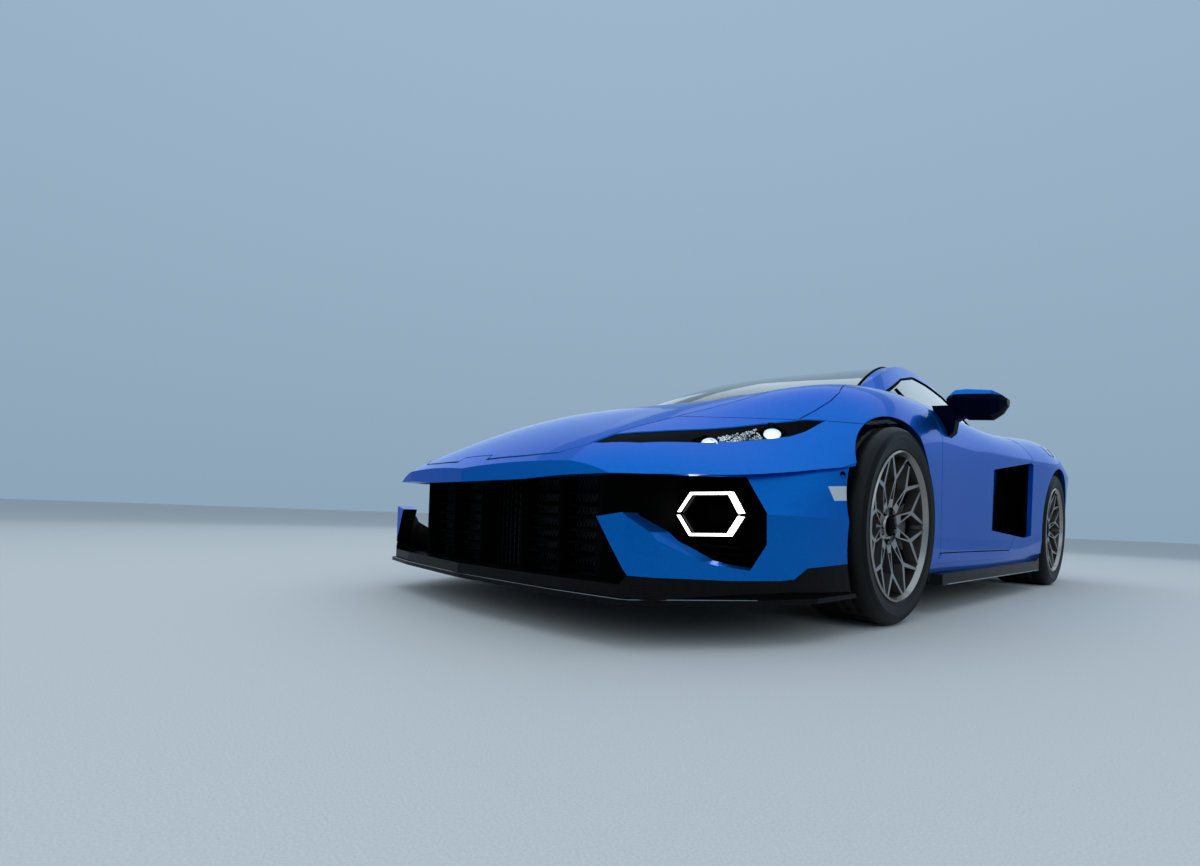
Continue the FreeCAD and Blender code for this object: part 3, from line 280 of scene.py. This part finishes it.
CAST = plastic("cast_alloy", (0.16, 0.16, 0.17), (0.24, 0.24, 0.25), gloss=(0.4, 0.6),
               grain=400.0, depth=0.0001, Metallic=0.9)
STEEL = plastic("exhaust_steel", (0.24, 0.23, 0.22), (0.36, 0.34, 0.33), gloss=(0.25, 0.4),
                grain=300.0, Metallic=1.0)
CHROME = plastic("reflector", grey(0.80), grey(0.90), gloss=(0.05, 0.12), grain=200.0, depth=0.00002,
                 Metallic=1.0)
FACETS = plastic("lamp_facets", grey(0.30), (0.85, 0.85, 0.83), gloss=(0.03, 0.08), grain=200.0,
                 depth=0.00002, Metallic=1.0)
TINTED = glass("tinted_glass", (0.10, 0.11, 0.12))
RED_LENS = glass("red_lens", (0.45, 0.01, 0.01), 0.05, 0.6)
LIT_WARM = glow("lit_warm", (1.0, 0.95, 0.68), 1.5)
LIT_RED = glow("tail_red", (0.80, 0.01, 0.01), 1.6)


# Finishes that change over a CAD node, by the place or the slope of its surface

def lamp_finish():
    """Lit running lamps at the nose, and ribbed lenses for the markers on the flanks."""
    material, tree, shader = new_material("lamp_faces")
    vector = object_coords(tree)
    x, _, _ = position(tree)
    flank = above(tree, math_node(tree, "ABSOLUTE", x), 0.86)
    grain = noise(tree, vector, 160.0, 1.0)
    set_inputs(tree, shader, Emission_Color=ramp(tree, grain, (0.95, 0.95, 0.94), (1.0, 1.0, 0.99)),
               Emission_Strength=4.0, Roughness=0.2)
    lens = mixed_with(tree, shader, flank, (0.50, 0.54, 0.56), Roughness=0.12, Coat_Weight=1.0, Metallic=0.35)
    ribs = add_node(tree, "ShaderNodeTexWave", Vector=vector, Scale=120.0, bands_direction="Y")
    bump(tree, lens, ribs.outputs["Fac"], 0.0004)
    return material


def mirror_paint_and_shade():
    """Blue cap above an underside and stalk painted deep navy as painted shade, where the blue paint reflects
    dark surroundings.
    """
    material = paint("mirror_paint")
    tree, shader = layers(material)
    _, _, z = position(tree)
    # painted shade: below this height the blue cap and its stalk turn near-black navy
    mixed_with(tree, shader, below(tree, z, 0.892, 0.001), (0.0, 0.001, 0.010), Roughness=0.2,
               Specular_IOR_Level=0.1, IOR=1.15)
    return material


def rim_finish(name, axle, hub):
    """Satin bronze spokes ahead of a dark barrel, with a machined brake disc inside."""
    spoke_depth, disc_radius, groove_rate = 0.918, 0.192, 2500.0
    material = plastic(name, (0.29, 0.26, 0.24), (0.36, 0.33, 0.31), gloss=(0.26, 0.36), grain=600.0,
                       depth=0.00001, Coat_Weight=0.5, Metallic=0.95)
    tree, shader = layers(material)
    x, y, z = position(tree)
    squares = [math_node(tree, "POWER", math_node(tree, "SUBTRACT", value, middle), 2.0)
               for value, middle in ((y, axle), (z, hub))]
    reach = math_node(tree, "SQRT", math_node(tree, "ADD", *squares))
    disc = below(tree, reach, disc_radius, 0.001)
    rings = math_node(tree, "SINE", math_node(tree, "MULTIPLY", reach, groove_rate))
    deep = below(tree, math_node(tree, "ABSOLUTE", x), spoke_depth, 0.004)
    barrel = mixed_with(tree, shader, deep, grey(0.02), Roughness=0.4, Metallic=0.8)
    set_inputs(tree, barrel, Base_Color=ramp(tree, disc, grey(0.012), (0.13, 0.125, 0.12), 0.0, 1.0))
    bump(tree, barrel, rings, 0.00005)
    return material


def bumper_finish():
    """Painted fascia whose faces towards the grille are black, and the rib inside the lamp strip too."""
    mouth_top = 0.46
    material = paint("bumper_paint")
    tree, shader = layers(material)
    x, y, z = position(tree)
    across = math_node(tree, "ABSOLUTE", x)
    slope = tree.nodes.new("ShaderNodeNewGeometry").outputs["True Normal"]
    slope = add_node(tree, "ShaderNodeSeparateXYZ", slope).outputs["X"]
    outward = math_node(tree, "MULTIPLY", math_node(tree, "SIGN", x), slope)
    mouth = both(tree, below(tree, outward, -0.45, 0.02), below(tree, z, mouth_top))
    rib = both(tree, between(tree, across, 0.728, 0.750),
               both(tree, between(tree, y, -1.672, -1.652), between(tree, z, 0.625, 0.6605)))
    mixed_with(tree, shader, math_node(tree, "MAXIMUM", mouth, rib), grey(0.002), Roughness=0.4,
               Specular_IOR_Level=0.1)
    return material


def tub_finish():
    """Matt black tub whose sills outside the cabin are painted."""
    sill_face, sill_foot = 0.905, 0.165
    material = paint("tub_paint")
    tree, shader = layers(material)
    x, _, z = position(tree)
    sill = both(tree, above(tree, math_node(tree, "ABSOLUTE", x), sill_face), above(tree, z, sill_foot))
    mixed_with(tree, shader, inverse(tree, sill), grey(0.006), Roughness=0.8, Specular_IOR_Level=0.2)
    return material


# Finishes of the CAD nodes: by node where one has its own, otherwise by material slot

SLOT_FINISHES = {
    "blue_paint": BLUE,
    "tinted_glass": TINTED,
    "tyre": RUBBER,
    "alloy_casting": CAST,
    "engine_alloy": CAST,
    "exhaust_steel": STEEL,
    "black_composite": CARBON,
    "tub_composite": LINER_BLACK,
    "cabin_trim": HIDE,
    "lamp_plastic": LAMP_BLACK,
}
NODE_FINISHES = {
    "tub": tub_finish(),
    "front_bumper": bumper_finish(),
    "day_lamps": lamp_finish(),
    "tail_lamps": LIT_RED,
    "grille_frame": SATIN_BLACK,
    "subframes": LINER_BLACK,
}
NODE_FINISHES["mirror_left"] = NODE_FINISHES["mirror_right"] = mirror_paint_and_shade()
for end, (axle, hub, *_) in WHEELS.items():
    NODE_FINISHES[f"rim_{end}_left"] = NODE_FINISHES[f"rim_{end}_right"] = rim_finish(f"rim_{end}", axle, hub)
for part in frame["record"]["subparts"]:
    materials = NODES[part["node"]].data.materials
    materials.clear()
    materials.append(NODE_FINISHES.get(part["node"]) or SLOT_FINISHES[part["material_slot"]])


# Helpers for the pieces of the scene

def circle(centre, across, third, radius, count):
    """Points around a centre, in the plane of two unit vectors."""
    return [centre + radius * (math.cos(a) * across + math.sin(a) * third)
            for a in (2 * math.pi * k / count for k in range(count))]


class Shape:
    """Collects the vertices and faces of one piece."""

    def __init__(self):
        self.vertices = []
        self.faces = []

    def rings(self, rings, loop=False):
        """Skins a row of equal closed rings, which ends in two caps or runs back into itself."""
        start, count = len(self.vertices), len(rings[0])
        self.vertices += [p for ring in rings for p in ring]
        for i in range(len(rings) if loop else len(rings) - 1):
            a, b = start + i * count, start + (i + 1) % len(rings) * count
            self.faces += [(a + k, a + (k + 1) % count, b + (k + 1) % count, b + k) for k in range(count)]
        if not loop:
            end = len(self.vertices)
            self.faces.append(tuple(reversed(range(start, start + count))))
            self.faces.append(tuple(range(end - count, end)))

    def tube(self, points, radius, sides=6):
        """A thin round bar along a line of points."""
        points = [Vector(p) for p in points]
        rings = []
        for before, here, after in zip(points[:1] + points, points, points[1:] + points[-1:]):
            along = (after - before).normalized()
            across = along.cross(Vector((0.31, 0.22, 0.92))).normalized()
            rings.append(circle(here, across, along.cross(across), radius, sides))
        self.rings(rings)

    def lathe(self, centre, axis, profile, steps=24):
        """Turns (distance along, radius) pairs about an axis."""
        centre, axis = Vector(centre), Vector(axis).normalized()
        across = axis.orthogonal().normalized()
        third = axis.cross(across)
        self.rings([circle(centre + axis * along, across, third, radius, steps) for along, radius in profile])

    def prism(self, corners, depth):
        """A flat outline given a depth along a vector."""
        corners = [Vector(c) for c in corners]
        self.rings([corners, [c + Vector(depth) for c in corners]])

    def piece(self, name, material, body, slot, smooth=False):
        """Makes a mesh in the row frame that rides a body and takes the given finish; its slot is not used.
        """
        mesh = bpy.data.meshes.new(name)
        mesh.from_pydata([tuple(v) for v in self.vertices], [], self.faces)
        made = bmesh.new()
        made.from_mesh(mesh)
        bmesh.ops.recalc_face_normals(made, faces=made.faces)
        made.to_mesh(mesh)
        made.free()
        mesh.polygons.foreach_set("use_smooth", [smooth] * len(mesh.polygons))
        mesh.materials.append(material)
        obj = bpy.data.objects.new(name, mesh)
        COLLECTION.objects.link(obj)
        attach(obj, body)
        return obj


SURFACES = {}


def drape(node, point, direction, lift=0.0):
    """The point where a ray meets a CAD node, raised off its surface, or None where it misses."""
    if node not in SURFACES:
        made = bmesh.new()
        made.from_mesh(NODES[node].data)
        SURFACES[node] = BVHTree.FromBMesh(made)
        made.free()
    direction = Vector(direction).normalized()
    hit, normal, _, _ = SURFACES[node].ray_cast(Vector(point), direction)
    if hit is None:
        return None
    if normal.dot(direction) > 0:
        normal = -normal
    return hit + normal * lift


def draped_line(node, points, direction, lift):
    """Points along a broken line, laid on a node's surface."""
    step = 0.02
    points = [Vector(p) for p in points]
    spread = []
    for a, b in zip(points, points[1:]):
        count = max(1, round((b - a).length / step))
        spread += [a.lerp(b, k / count) for k in range(count)]
    laid = [drape(node, p, direction, lift) for p in spread + points[-1:]]
    return [p for p in laid if p is not None]


def from_side(node, sign, y, z, lift=0.0):
    """The point of a node's flank at a given length and height."""
    return drape(node, (sign * BESIDE, y, z), (-sign, 0, 0), lift)


def line_on_side(node, sign, points, lift):
    """A line of (y, z) points laid on a node's flank."""
    return draped_line(node, [(sign * BESIDE, y, z) for y, z in points], (-sign, 0, 0), lift)


def line_on_top(node, points, lift):
    """A line of (x, y) points laid on a node from above."""
    return draped_line(node, [(x, y, OVERHEAD) for x, y in points], (0, 0, -1), lift)


def hexagon(middle, factor, y):
    """The lamps' outline about a middle, at a share of its size."""
    return [Vector((middle[0] + a * factor, y, middle[1] + b * factor)) for a, b in HEXAGON]


# Tyres with sidewall rings, rim ridge and a grooved tread

TYRE_STEPS = 240


def tyre_profile(radius, width, inner):
    """(distance along the axle, radius, whether cross cuts reach it) from one bead to the other."""
    half, bead, middle = width / 2, inner - 0.010, (radius + inner) / 2
    # columns: distance in from the widest point, radius
    wall = [
        (0.014, bead),
        (0.0085, bead + 0.006),
        (0.006, bead + 0.010),
        (0.0075, bead + 0.014),
        (0.0042, bead + 0.019),
        (0.0030, bead + 0.024),
        (0.0012, middle - 0.004),
        (0.0, middle),
        (0.0036, middle + 0.003),
        (0.0014, middle + 0.0065),
        (0.0052, middle + 0.0095),
        (0.0026, middle + 0.0125),
        (0.0078, radius - 0.021),
        (0.0052, radius - 0.0175),
        (0.0100, radius - 0.014),
        (0.0150, radius - 0.007),
        (0.0230, radius - 0.0025),
        (0.0320, radius),
    ]
    profile = [(half - a, r, False) for a, r in wall]
    for share in (0.46, 0.16, -0.16, -0.46):
        groove, floor = half * share, radius - 0.006
        profile += [(groove + 0.0055, radius, True), (groove + 0.0045, floor, False),
                    (groove - 0.0045, floor, False), (groove - 0.0055, radius, True)]
    return profile + [(-half + a, r, False) for a, r in reversed(wall)]


def tyres():
    cut_every, cut_depth, inset = 6, 0.004, 0.0001
    for end, (axle, radius, centre, width, inner) in WHEELS.items():
        profile = tyre_profile(radius, width, inner)
        for side, sign in SIDES:
            rings = []
            for k in range(TYRE_STEPS):
                turn = 2 * math.pi * k / TYRE_STEPS
                ring = []
                for along, r, block in profile:
                    cut = cut_depth if block and k % cut_every == 0 else 0.0
                    reach = r - cut - inset
                    ring.append(Vector((sign * centre + along, axle + reach * math.sin(turn),
                                        radius + reach * math.cos(turn))))
                rings.append(ring)
            made = Shape()
            made.rings(rings, loop=True)
            tyre = made.piece(f"tyre_tread_{end}_{side}", RUBBER, f"wheel_{end}_{side}", "tyre", True)
            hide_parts(f"tyre_{end}_{side}")


# Hub caps, wheel bolts, disc holes and valves

def wheel_details():
    bolts_in_ring, bolt_reach = 5, 0.060
    hole_rows, holes_in_row = (0.112, 0.132, 0.152, 0.172), 22
    cap_inset, bolt_inset, hole_inset = 0.048, 0.0515, 0.0932
    valve_turn, valve_radius = 0.31, 0.0035
    # columns: distance along, radius
    cap_profile = [(0.0, 0.036), (0.004, 0.036), (0.0065, 0.033), (0.0075, 0.024), (0.0078, 0.001)]
    well_profile = [(0.0, 0.0155), (0.003, 0.0155), (0.003, 0.0135), (0.0012, 0.0135)]
    bolt_profile = [(0.0, 0.0095), (0.0042, 0.0090), (0.0046, 0.0055), (0.0016, 0.0050)]
    hole_profile = [(0.0, 0.0036), (0.0006, 0.0036)]
    for end, (axle, radius, centre, width, inner) in WHEELS.items():
        for side, sign in SIDES:
            body = f"wheel_{end}_{side}"
            out = Vector((sign, 0, 0))

            def at(inset, reach, turn):
                """A point of the wheel, at a distance in from the tyre's widest point."""
                return Vector((sign * (centre + (width / 2 - inset)), axle + reach * math.sin(turn),
                               radius + reach * math.cos(turn)))

            cap, wells, bolts, holes, valve = (Shape() for _ in range(5))
            cap.lathe(at(cap_inset, 0, 0), out, cap_profile, 32)
            for k in range(bolts_in_ring):
                place = at(bolt_inset, bolt_reach, 2 * math.pi * (k + 0.5) / bolts_in_ring)
                wells.lathe(place, out, well_profile, 20)
                bolts.lathe(place, out, bolt_profile, 6)
            for row, reach in enumerate(hole_rows):
                for k in range(holes_in_row):
                    turn = 2 * math.pi * (k + row * 0.35) / holes_in_row
                    holes.lathe(at(hole_inset, reach, turn), out, hole_profile, 8)
            foot, tip = at(0.022, inner - 0.027, valve_turn), at(0.012, inner - 0.045, valve_turn)
            valve.tube([foot, tip], valve_radius)
            cap.piece(f"hub_cap_{end}_{side}", LAMP_BLACK, body, "wheel_alloy", True)
            wells.piece(f"bolt_wells_{end}_{side}", SATIN_BLACK, body, "wheel_alloy")
            bolts.piece(f"wheel_bolts_{end}_{side}", CAST, body, "wheel_alloy")
            holes.piece(f"disc_holes_{end}_{side}", LINER_BLACK, body, "wheel_alloy")
            valve.piece(f"valve_{end}_{side}", SATIN_BLACK, body, "wheel_alloy", True)


# Lamps: lit units and faceted glass in the headlamps, stepped hexagons inside the running and tail lamps

def on_headlamp(sign, x, y, lift):
    return drape("headlamps", (sign * x, y, OVERHEAD), (0, 0, -1), lift)


def headlamp(side, sign):
    """Two lit units in their dishes, with a field of small crystals between them."""
    crystal_count, scatter = 90, (0.618034, 0.754878, 0.437)
    dishes, lit, crystals = Shape(), Shape(), Shape()
    face = Vector((0.42 * sign, -0.62, 0.66)).normalized()
    # columns: x, y, size
    for x, y, size in ((0.688, -1.918, 0.018), (0.760, -1.694, 0.020)):
        seat = on_headlamp(sign, x, y, 0.013)
        dishes.lathe(seat, face, [(0.0, size * 0.5), (0.004, size * 1.15), (0.010, size * 1.35),
                                  (0.010, size * 1.22), (0.005, size * 0.9)], 28)
        lit.lathe(seat + face * 0.003, face, [(0.0, size * 0.95), (0.004, size * 0.85), (0.006, size * 0.55),
                                              (0.0065, 0.001)], 28)
    for k in range(crystal_count):
        # evenly scattered shares of the field's length, its width and the range of sizes
        along, across, larger = (k * rate % 1.0 for rate in scatter)
        off = (across - 0.5) * (0.020 + 0.018 * along)
        seat = on_headlamp(sign, 0.706 + 0.046 * along + off * 1.1, -1.890 + 0.150 * along - off * 0.8, 0.001)
        size = 0.0022 + 0.0030 * larger
        lean = Vector((0.5 * sign * math.sin(k * 2.4), -0.6 + 0.5 * math.cos(k * 1.7), 0.8))
        crystals.lathe(seat, lean, [(0.0, size), (size * 0.9, size * 0.7), (size * 1.3, size * 0.15)], 5)
    dishes.piece(f"headlamp_dishes_{side}", CHROME, "chassis", "lamp_plastic", True)
    lit.piece(f"headlamp_units_{side}", LIT_WARM, "chassis", "lamp_plastic", True)
    crystals.piece(f"headlamp_facets_{side}", FACETS, "chassis", "lamp_plastic")


def lamp_steps(name, middle, steps, depth, material):
    """Hexagonal frames behind one another; both sides' frames lie in the left lamp, a known fault."""
    made = Shape()
    back = Vector((0, depth, 0))
    for factor, y, wide in steps:
        outer, inner = hexagon(middle, factor, y), hexagon(middle, factor - wide, y)
        made.rings([outer, [p + back for p in outer], [p + back for p in inner], inner], loop=True)
    made.piece(name, material, "chassis", "lamp_plastic")


def lamps():
    # columns: size, y, width of the frame
    day_steps = ((0.875, -1.9152, 0.06), (0.80, -1.896, 0.05), (0.66, -1.884, 0.05), (0.52, -1.872, 0.05))
    tail_steps = ((0.74, 2.262, 0.07), (0.56, 2.254, 0.07), (0.38, 2.246, 0.07))
    for side, sign in SIDES:
        headlamp(side, sign)
        lamp_steps(f"day_lamp_steps_{side}", DAY_LAMP, day_steps, 0.012, GLOSS_BLACK)
        lamp_steps(f"tail_lamp_steps_{side}", TAIL_LAMP, tail_steps, -0.010, RED_LENS)


# Front: the net in the mouth with a near-black radiator panel behind it as painted shade, and painted
# highlights on the edges of splitter and skirts

NET_Y = -2.128


def grille_net():
    """A net of rhombs over the mouth."""
    pitch, wire, half_width = 0.017, 0.0009, 0.525
    rows = [0.150 + pitch * 0.866 * k for k in range(24)]
    net = Shape()
    for i, (z, upper) in enumerate(zip(rows, rows[1:])):
        for k in range(-31, 32):
            x = pitch * (k + 0.5 * (i % 2))
            if abs(x) > half_width:
                continue
            for far in (x + pitch / 2, x - pitch / 2):
                net.tube([(x, NET_Y, z), (far, NET_Y, upper)], wire, sides=4)
    net.piece("grille_net", NET_GREY, "chassis", "black_composite")


def radiator_shade_panel():
    """A radiator panel with cooling fins behind the net, near black as painted shade so that the mouth shows
    dark behind the net.
    """
    core = Shape()
    outline = [(-0.515, 0.145), (0.515, 0.145), (0.535, 0.420), (-0.535, 0.420)]
    core.prism([(x, NET_Y + 0.030, z) for x, z in outline], (0, 0.014, 0))
    for k in range(20):
        low = 0.152 + 0.0138 * k
        fin = [(-0.51, low), (0.51, low), (0.51, low + 0.005), (-0.51, low + 0.005)]
        core.prism([(x, NET_Y + 0.024, z) for x, z in fin], (0, 0.008, 0))
    # near black: the radiator shape is real, its darkness is painted shade behind the net
    core.piece("radiator_shade_panel", LINER_BLACK, "chassis", "black_composite")


def flank_details():
    """The parking sensors' rings and the fuel flap's outline."""
    ring_profile = [(-0.001, 0.0115), (0.0008, 0.0112), (0.0008, 0.0096), (-0.0005, 0.0092)]
    # columns: y, z
    flap_outline = [(1.215, 0.892), (1.232, 0.846), (1.252, 0.836), (1.372, 0.836), (1.388, 0.846),
                    (1.388, 0.892)]
    for side, sign in SIDES:
        ring, flap = Shape(), Shape()
        sensor = from_side("front_bumper", sign, -1.574, 0.493, 0.0006)
        ring.lathe(sensor, (sign, -0.28, 0.08), ring_profile, 28)
        ring.piece(f"sensor_ring_{side}", LAMP_BLACK, "chassis", "lamp_plastic", True)
        flap.tube(line_on_side(f"quarter_{side}", sign, flap_outline, 0.0002), 0.0016)
        flap.piece(f"fuel_flap_line_{side}", LINER_BLACK, "chassis", "black_composite", True)


def blade_edges():
    """Thin lighter strips on the splitter's and the skirts' edges, a painted highlight where those edges
    catch the light.
    """
    edge = Shape()
    line = draped_line("front_splitter", [(-0.90, AHEAD, 0.1275), (0.90, AHEAD, 0.1275)], (0, 1, 0), -0.0013)
    edge.tube([p + Vector((0, 0, 0.0022)) for p in line], 0.0016, sides=5)
    edge.piece("splitter_edge", EDGE, "chassis", "black_composite", True)
    for side, sign in SIDES:
        edge = Shape()
        line = line_on_side("side_skirts", sign, [(-0.72, 0.119), (0.98, 0.119)], -0.0004)
        edge.tube(line, 0.0018, sides=5)
        edge.piece(f"skirt_edge_{side}", EDGE, "chassis", "black_composite", True)


# Body: the caps of the sills and the outer liners of the rear wheels

def sills():
    """The painted cap on each sill, up to the door's lower shut line."""
    start, length, steps = -0.724, 1.104, 28
    foot, knee, top, inner_foot, depth = 0.198, 0.212, 0.2395, 0.214, 0.03
    for side, sign in SIDES:
        rings = []
        for k in range(steps + 1):
            y = start + length * k / steps
            base = from_side("tub", sign, y, foot)
            low = from_side("tub", sign, y, 0.209)
            high = from_side(f"door_{side}", sign, y, 0.262)
            crest = low.lerp(high, 0.55)
            rings.append([Vector((x, y, z)) for x, z in (
                (base.x + sign * 0.0004, foot), (low.x + sign * 0.0006, knee), (crest.x, top),
                (crest.x - sign * depth, top), (low.x - sign * depth, inner_foot))])
        cap = Shape()
        cap.rings(rings)
        cap.piece(f"sill_cap_{side}", BLUE, "chassis", "blue_paint")


def arch_liners():
    """The outer half of each rear wheel well, from the drum to the wing's inner skin."""
    axle, hub = WHEELS["rear"][:2]
    reach, wall, start, gap = 0.4025, 0.006, 0.806, 0.002
    first, sweep, steps = -18, 216, 48
    for side, sign in SIDES:
        rings = []
        for k in range(steps + 1):
            turn = math.radians(first + sweep * k / steps)
            (y, z), (far_y, far_z) = ((axle + r * math.cos(turn), hub + r * math.sin(turn))
                                      for r in (reach, reach + wall))
            stop = abs(drape(f"quarter_{side}", (sign * (start + 0.01), y, z), (sign, 0, 0)).x) - gap
            rings.append([Vector((sign * start, y, z)), Vector((sign * stop, y, z)),
                          Vector((sign * stop, far_y, far_z)), Vector((sign * start, far_y, far_z))])
        made = Shape()
        made.rings(rings)
        made.piece(f"arch_liner_rear_{side}", LINER_BLACK, "chassis", "tub_composite")


# Window seals, dividers, mirror glass and the windscreen's edge

def glazing():
    # columns: y, z
    window = [(-0.708, 0.884), (-0.700, 0.925), (-0.353, 1.062), (-0.083, 1.126), (0.150, 1.130),
              (0.455, 1.110), (0.655, 1.060), (0.773, 0.958), (0.773, 0.905)]
    divider = [(-0.545, 0.975), (-0.470, 0.890)]
    # columns: x, z
    mirror = [(1.004, 0.816), (1.004, 0.888), (1.088, 0.888), (1.096, 0.830), (1.076, 0.816)]
    # columns: x, y
    screen = [(-0.590, -1.035), (-0.664, -0.863), (-0.632, -0.723), (-0.522, -0.212), (0.0, -0.193),
              (0.522, -0.212), (0.632, -0.723), (0.664, -0.863), (0.590, -1.035)]
    for side, sign in SIDES:
        seal, face = Shape(), Shape()
        for points, radius in ((window, 0.0055), (divider, 0.006)):
            seal.tube(line_on_side(f"side_glass_{side}", sign, points, 0.001), radius)
        face.prism([(sign * x, -0.541, z) for x, z in mirror], (0, 0.002, 0))
        seal.piece(f"window_seal_{side}", SATIN_BLACK, f"door_{side}", "black_composite", True)
        face.piece(f"mirror_glass_{side}", CHROME, f"door_{side}", "tinted_glass")
    edge = Shape()
    edge.tube(line_on_top("windscreen", screen, 0.0004), 0.006)
    edge.piece("screen_seal", SATIN_BLACK, "chassis", "black_composite", True)


# Exhaust pipes, engine dressing below the rear glass and cabin details

def tail_trim():
    pipes, plenum = Shape(), Shape()
    # columns: distance along, radius
    pipe = [(0.0, 0.030), (0.0, 0.040), (0.100, 0.041), (0.104, 0.039), (0.100, 0.036), (0.01, 0.035)]
    for x in (-0.072, 0.072):
        pipes.lathe((x, 2.215, 0.627), (0, 1, 0), pipe, 32)
    pipes.piece("exhaust_pipes", STEEL, "chassis", "exhaust_steel", True)
    # columns: y, half width, half height
    stations = ((0.93, 0.045, 0.03), (0.96, 0.075, 0.055), (1.40, 0.075, 0.055), (1.44, 0.045, 0.03))
    section = ((-1, -0.6), (-0.9, 0.5), (-0.4, 1), (0.4, 1), (0.9, 0.5), (1, -0.6))
    for _, sign in SIDES:
        plenum.rings([[Vector((sign * 0.20 + wide * a, y, 0.70 + tall * b)) for a, b in section]
                      for y, wide, tall in stations])
        for k in range(4):
            y = 1.00 + 0.12 * k
            runner = [(0.18, 0.745), (0.11, 0.785), (0.03, 0.765), (0, 0.72)]
            plenum.tube([(sign * x, y, z) for x, z in runner], 0.020, sides=10)
    plenum.piece("engine_plenums", CAST, "chassis", "engine_alloy", True)


def cabin():
    screens, stitching = Shape(), Shape()
    outline = [(-1, -0.8), (-0.9, -1), (0.9, -1), (1, -0.8), (1, 0.8), (0.9, 1), (-0.9, 1), (-1, 0.8)]
    # columns: x and z of the middle, half width, half height, y
    for x, z, wide, tall, y in ((0.36, 0.79, 0.15, 0.045, -0.500), (0.0, 0.70, 0.085, 0.10, -0.440)):
        screens.prism([(x + a * wide, y, z + b * tall) for a, b in outline], (0, 0.008, 0))
    screens.piece("cabin_screens", GLOSS_BLACK, "chassis", "cabin_trim")
    for seat in (-0.36, 0.36):
        for x in (seat - 0.12, seat + 0.12):
            stitching.tube(line_on_top("seats", [(x, -0.15), (x, 0.25)], 0.001), 0.0012, sides=4)
    stitching.piece("seat_seams", SATIN_BLACK, "chassis", "cabin_trim", True)


tyres()
wheel_details()
lamps()
grille_net()
radiator_shade_panel()
flank_details()
blade_edges()
sills()
arch_liners()
glazing()
tail_trim()
cabin()


# Studio: pale floor, pale blue surroundings and large soft lights

FLOOR_HALF = 60.0
LIGHT_COLOUR = (0.82, 0.94, 1.0)
# columns: name, place, aim, width, height, power
LIGHTS = [
    ("overhead", (0.0, 0.0, 6.0), (0, 0, 0), 9.0, 12.0, 190),
    ("left_side", (7.5, -2.0, 4.2), (0, 0, 0.6), 9.0, 4.5, 105),
    ("front", (-1.5, -9.0, 4.2), (0, -1.5, 0.5), 9.0, 4.5, 115),
    ("right_side", (-7.5, 1.0, 4.2), (0, 0, 0.6), 9.0, 4.5, 60),
    ("behind", (1.5, 9.0, 4.2), (0, 1.5, 0.5), 9.0, 4.5, 60),
]


def pale_floor():
    mesh = bpy.data.meshes.new("floor")
    corners = [(FLOOR_HALF * x, FLOOR_HALF * y, 0) for x, y in ((-1, -1), (1, -1), (1, 1), (-1, 1))]
    mesh.from_pydata(corners, [], [(0, 1, 2, 3)])
    floor = bpy.data.objects.new("floor", mesh)
    COLLECTION.objects.link(floor)
    material, tree, shader = new_material("pale_floor")
    speckle = noise(tree, object_coords(tree), 300.0, 3.0)
    set_inputs(tree, shader, Base_Color=ramp(tree, speckle, (0.60, 0.56, 0.53), (0.68, 0.64, 0.61)),
               Roughness=0.75)
    mesh.materials.append(material)


def surroundings():
    """A pale blue that grows lighter from the horizon up."""
    world = bpy.data.worlds.new("studio")
    bpy.context.scene.world = world
    world.use_nodes = True
    tree = world.node_tree
    _, _, z = position(tree, "Generated")
    height = map_range(tree, z, From_Min=-0.05, From_Max=0.9)
    set_inputs(tree, tree.nodes["Background"], Strength=0.62,
               Color=ramp(tree, height, (0.42, 0.60, 0.78), (0.58, 0.80, 1.02), 0.0, 1.0))


def soft_lights():
    for name, place, aim, width, height, power in LIGHTS:
        light = bpy.data.lights.new(name, "AREA")
        light.shape = "RECTANGLE"
        light.size = width
        light.size_y = height
        light.energy = power
        light.color = LIGHT_COLOUR
        lamp = bpy.data.objects.new(name, light)
        lamp.location = place
        lamp.rotation_euler = (Vector(aim) - Vector(place)).to_track_quat("-Z", "Y").to_euler()
        lamp.visible_camera = False
        COLLECTION.objects.link(lamp)


def camera():
    """The photograph's low three-quarter view from ahead of the left front wheel."""
    data = bpy.data.cameras.new("camera")
    data.sensor_width = 36.0
    data.lens = 17.115
    data.shift_y = 0.0699
    data.clip_end = 200.0
    right = Vector((0.67509, 0.73676, 0.03803))
    up = Vector((-0.02569, -0.02804, 0.99928))
    back = Vector((0.73729, -0.67558, 0.0))
    place = Vector((1.7286, -3.2985, 0.3366))
    obj = bpy.data.objects.new("camera", data)
    obj.matrix_world = Matrix.Translation(place) @ Matrix((right, up, back)).transposed().to_4x4()
    COLLECTION.objects.link(obj)
    bpy.context.scene.camera = obj


pale_floor()
surroundings()
soft_lights()
camera()
bpy.context.scene.view_settings.view_transform = "Standard"
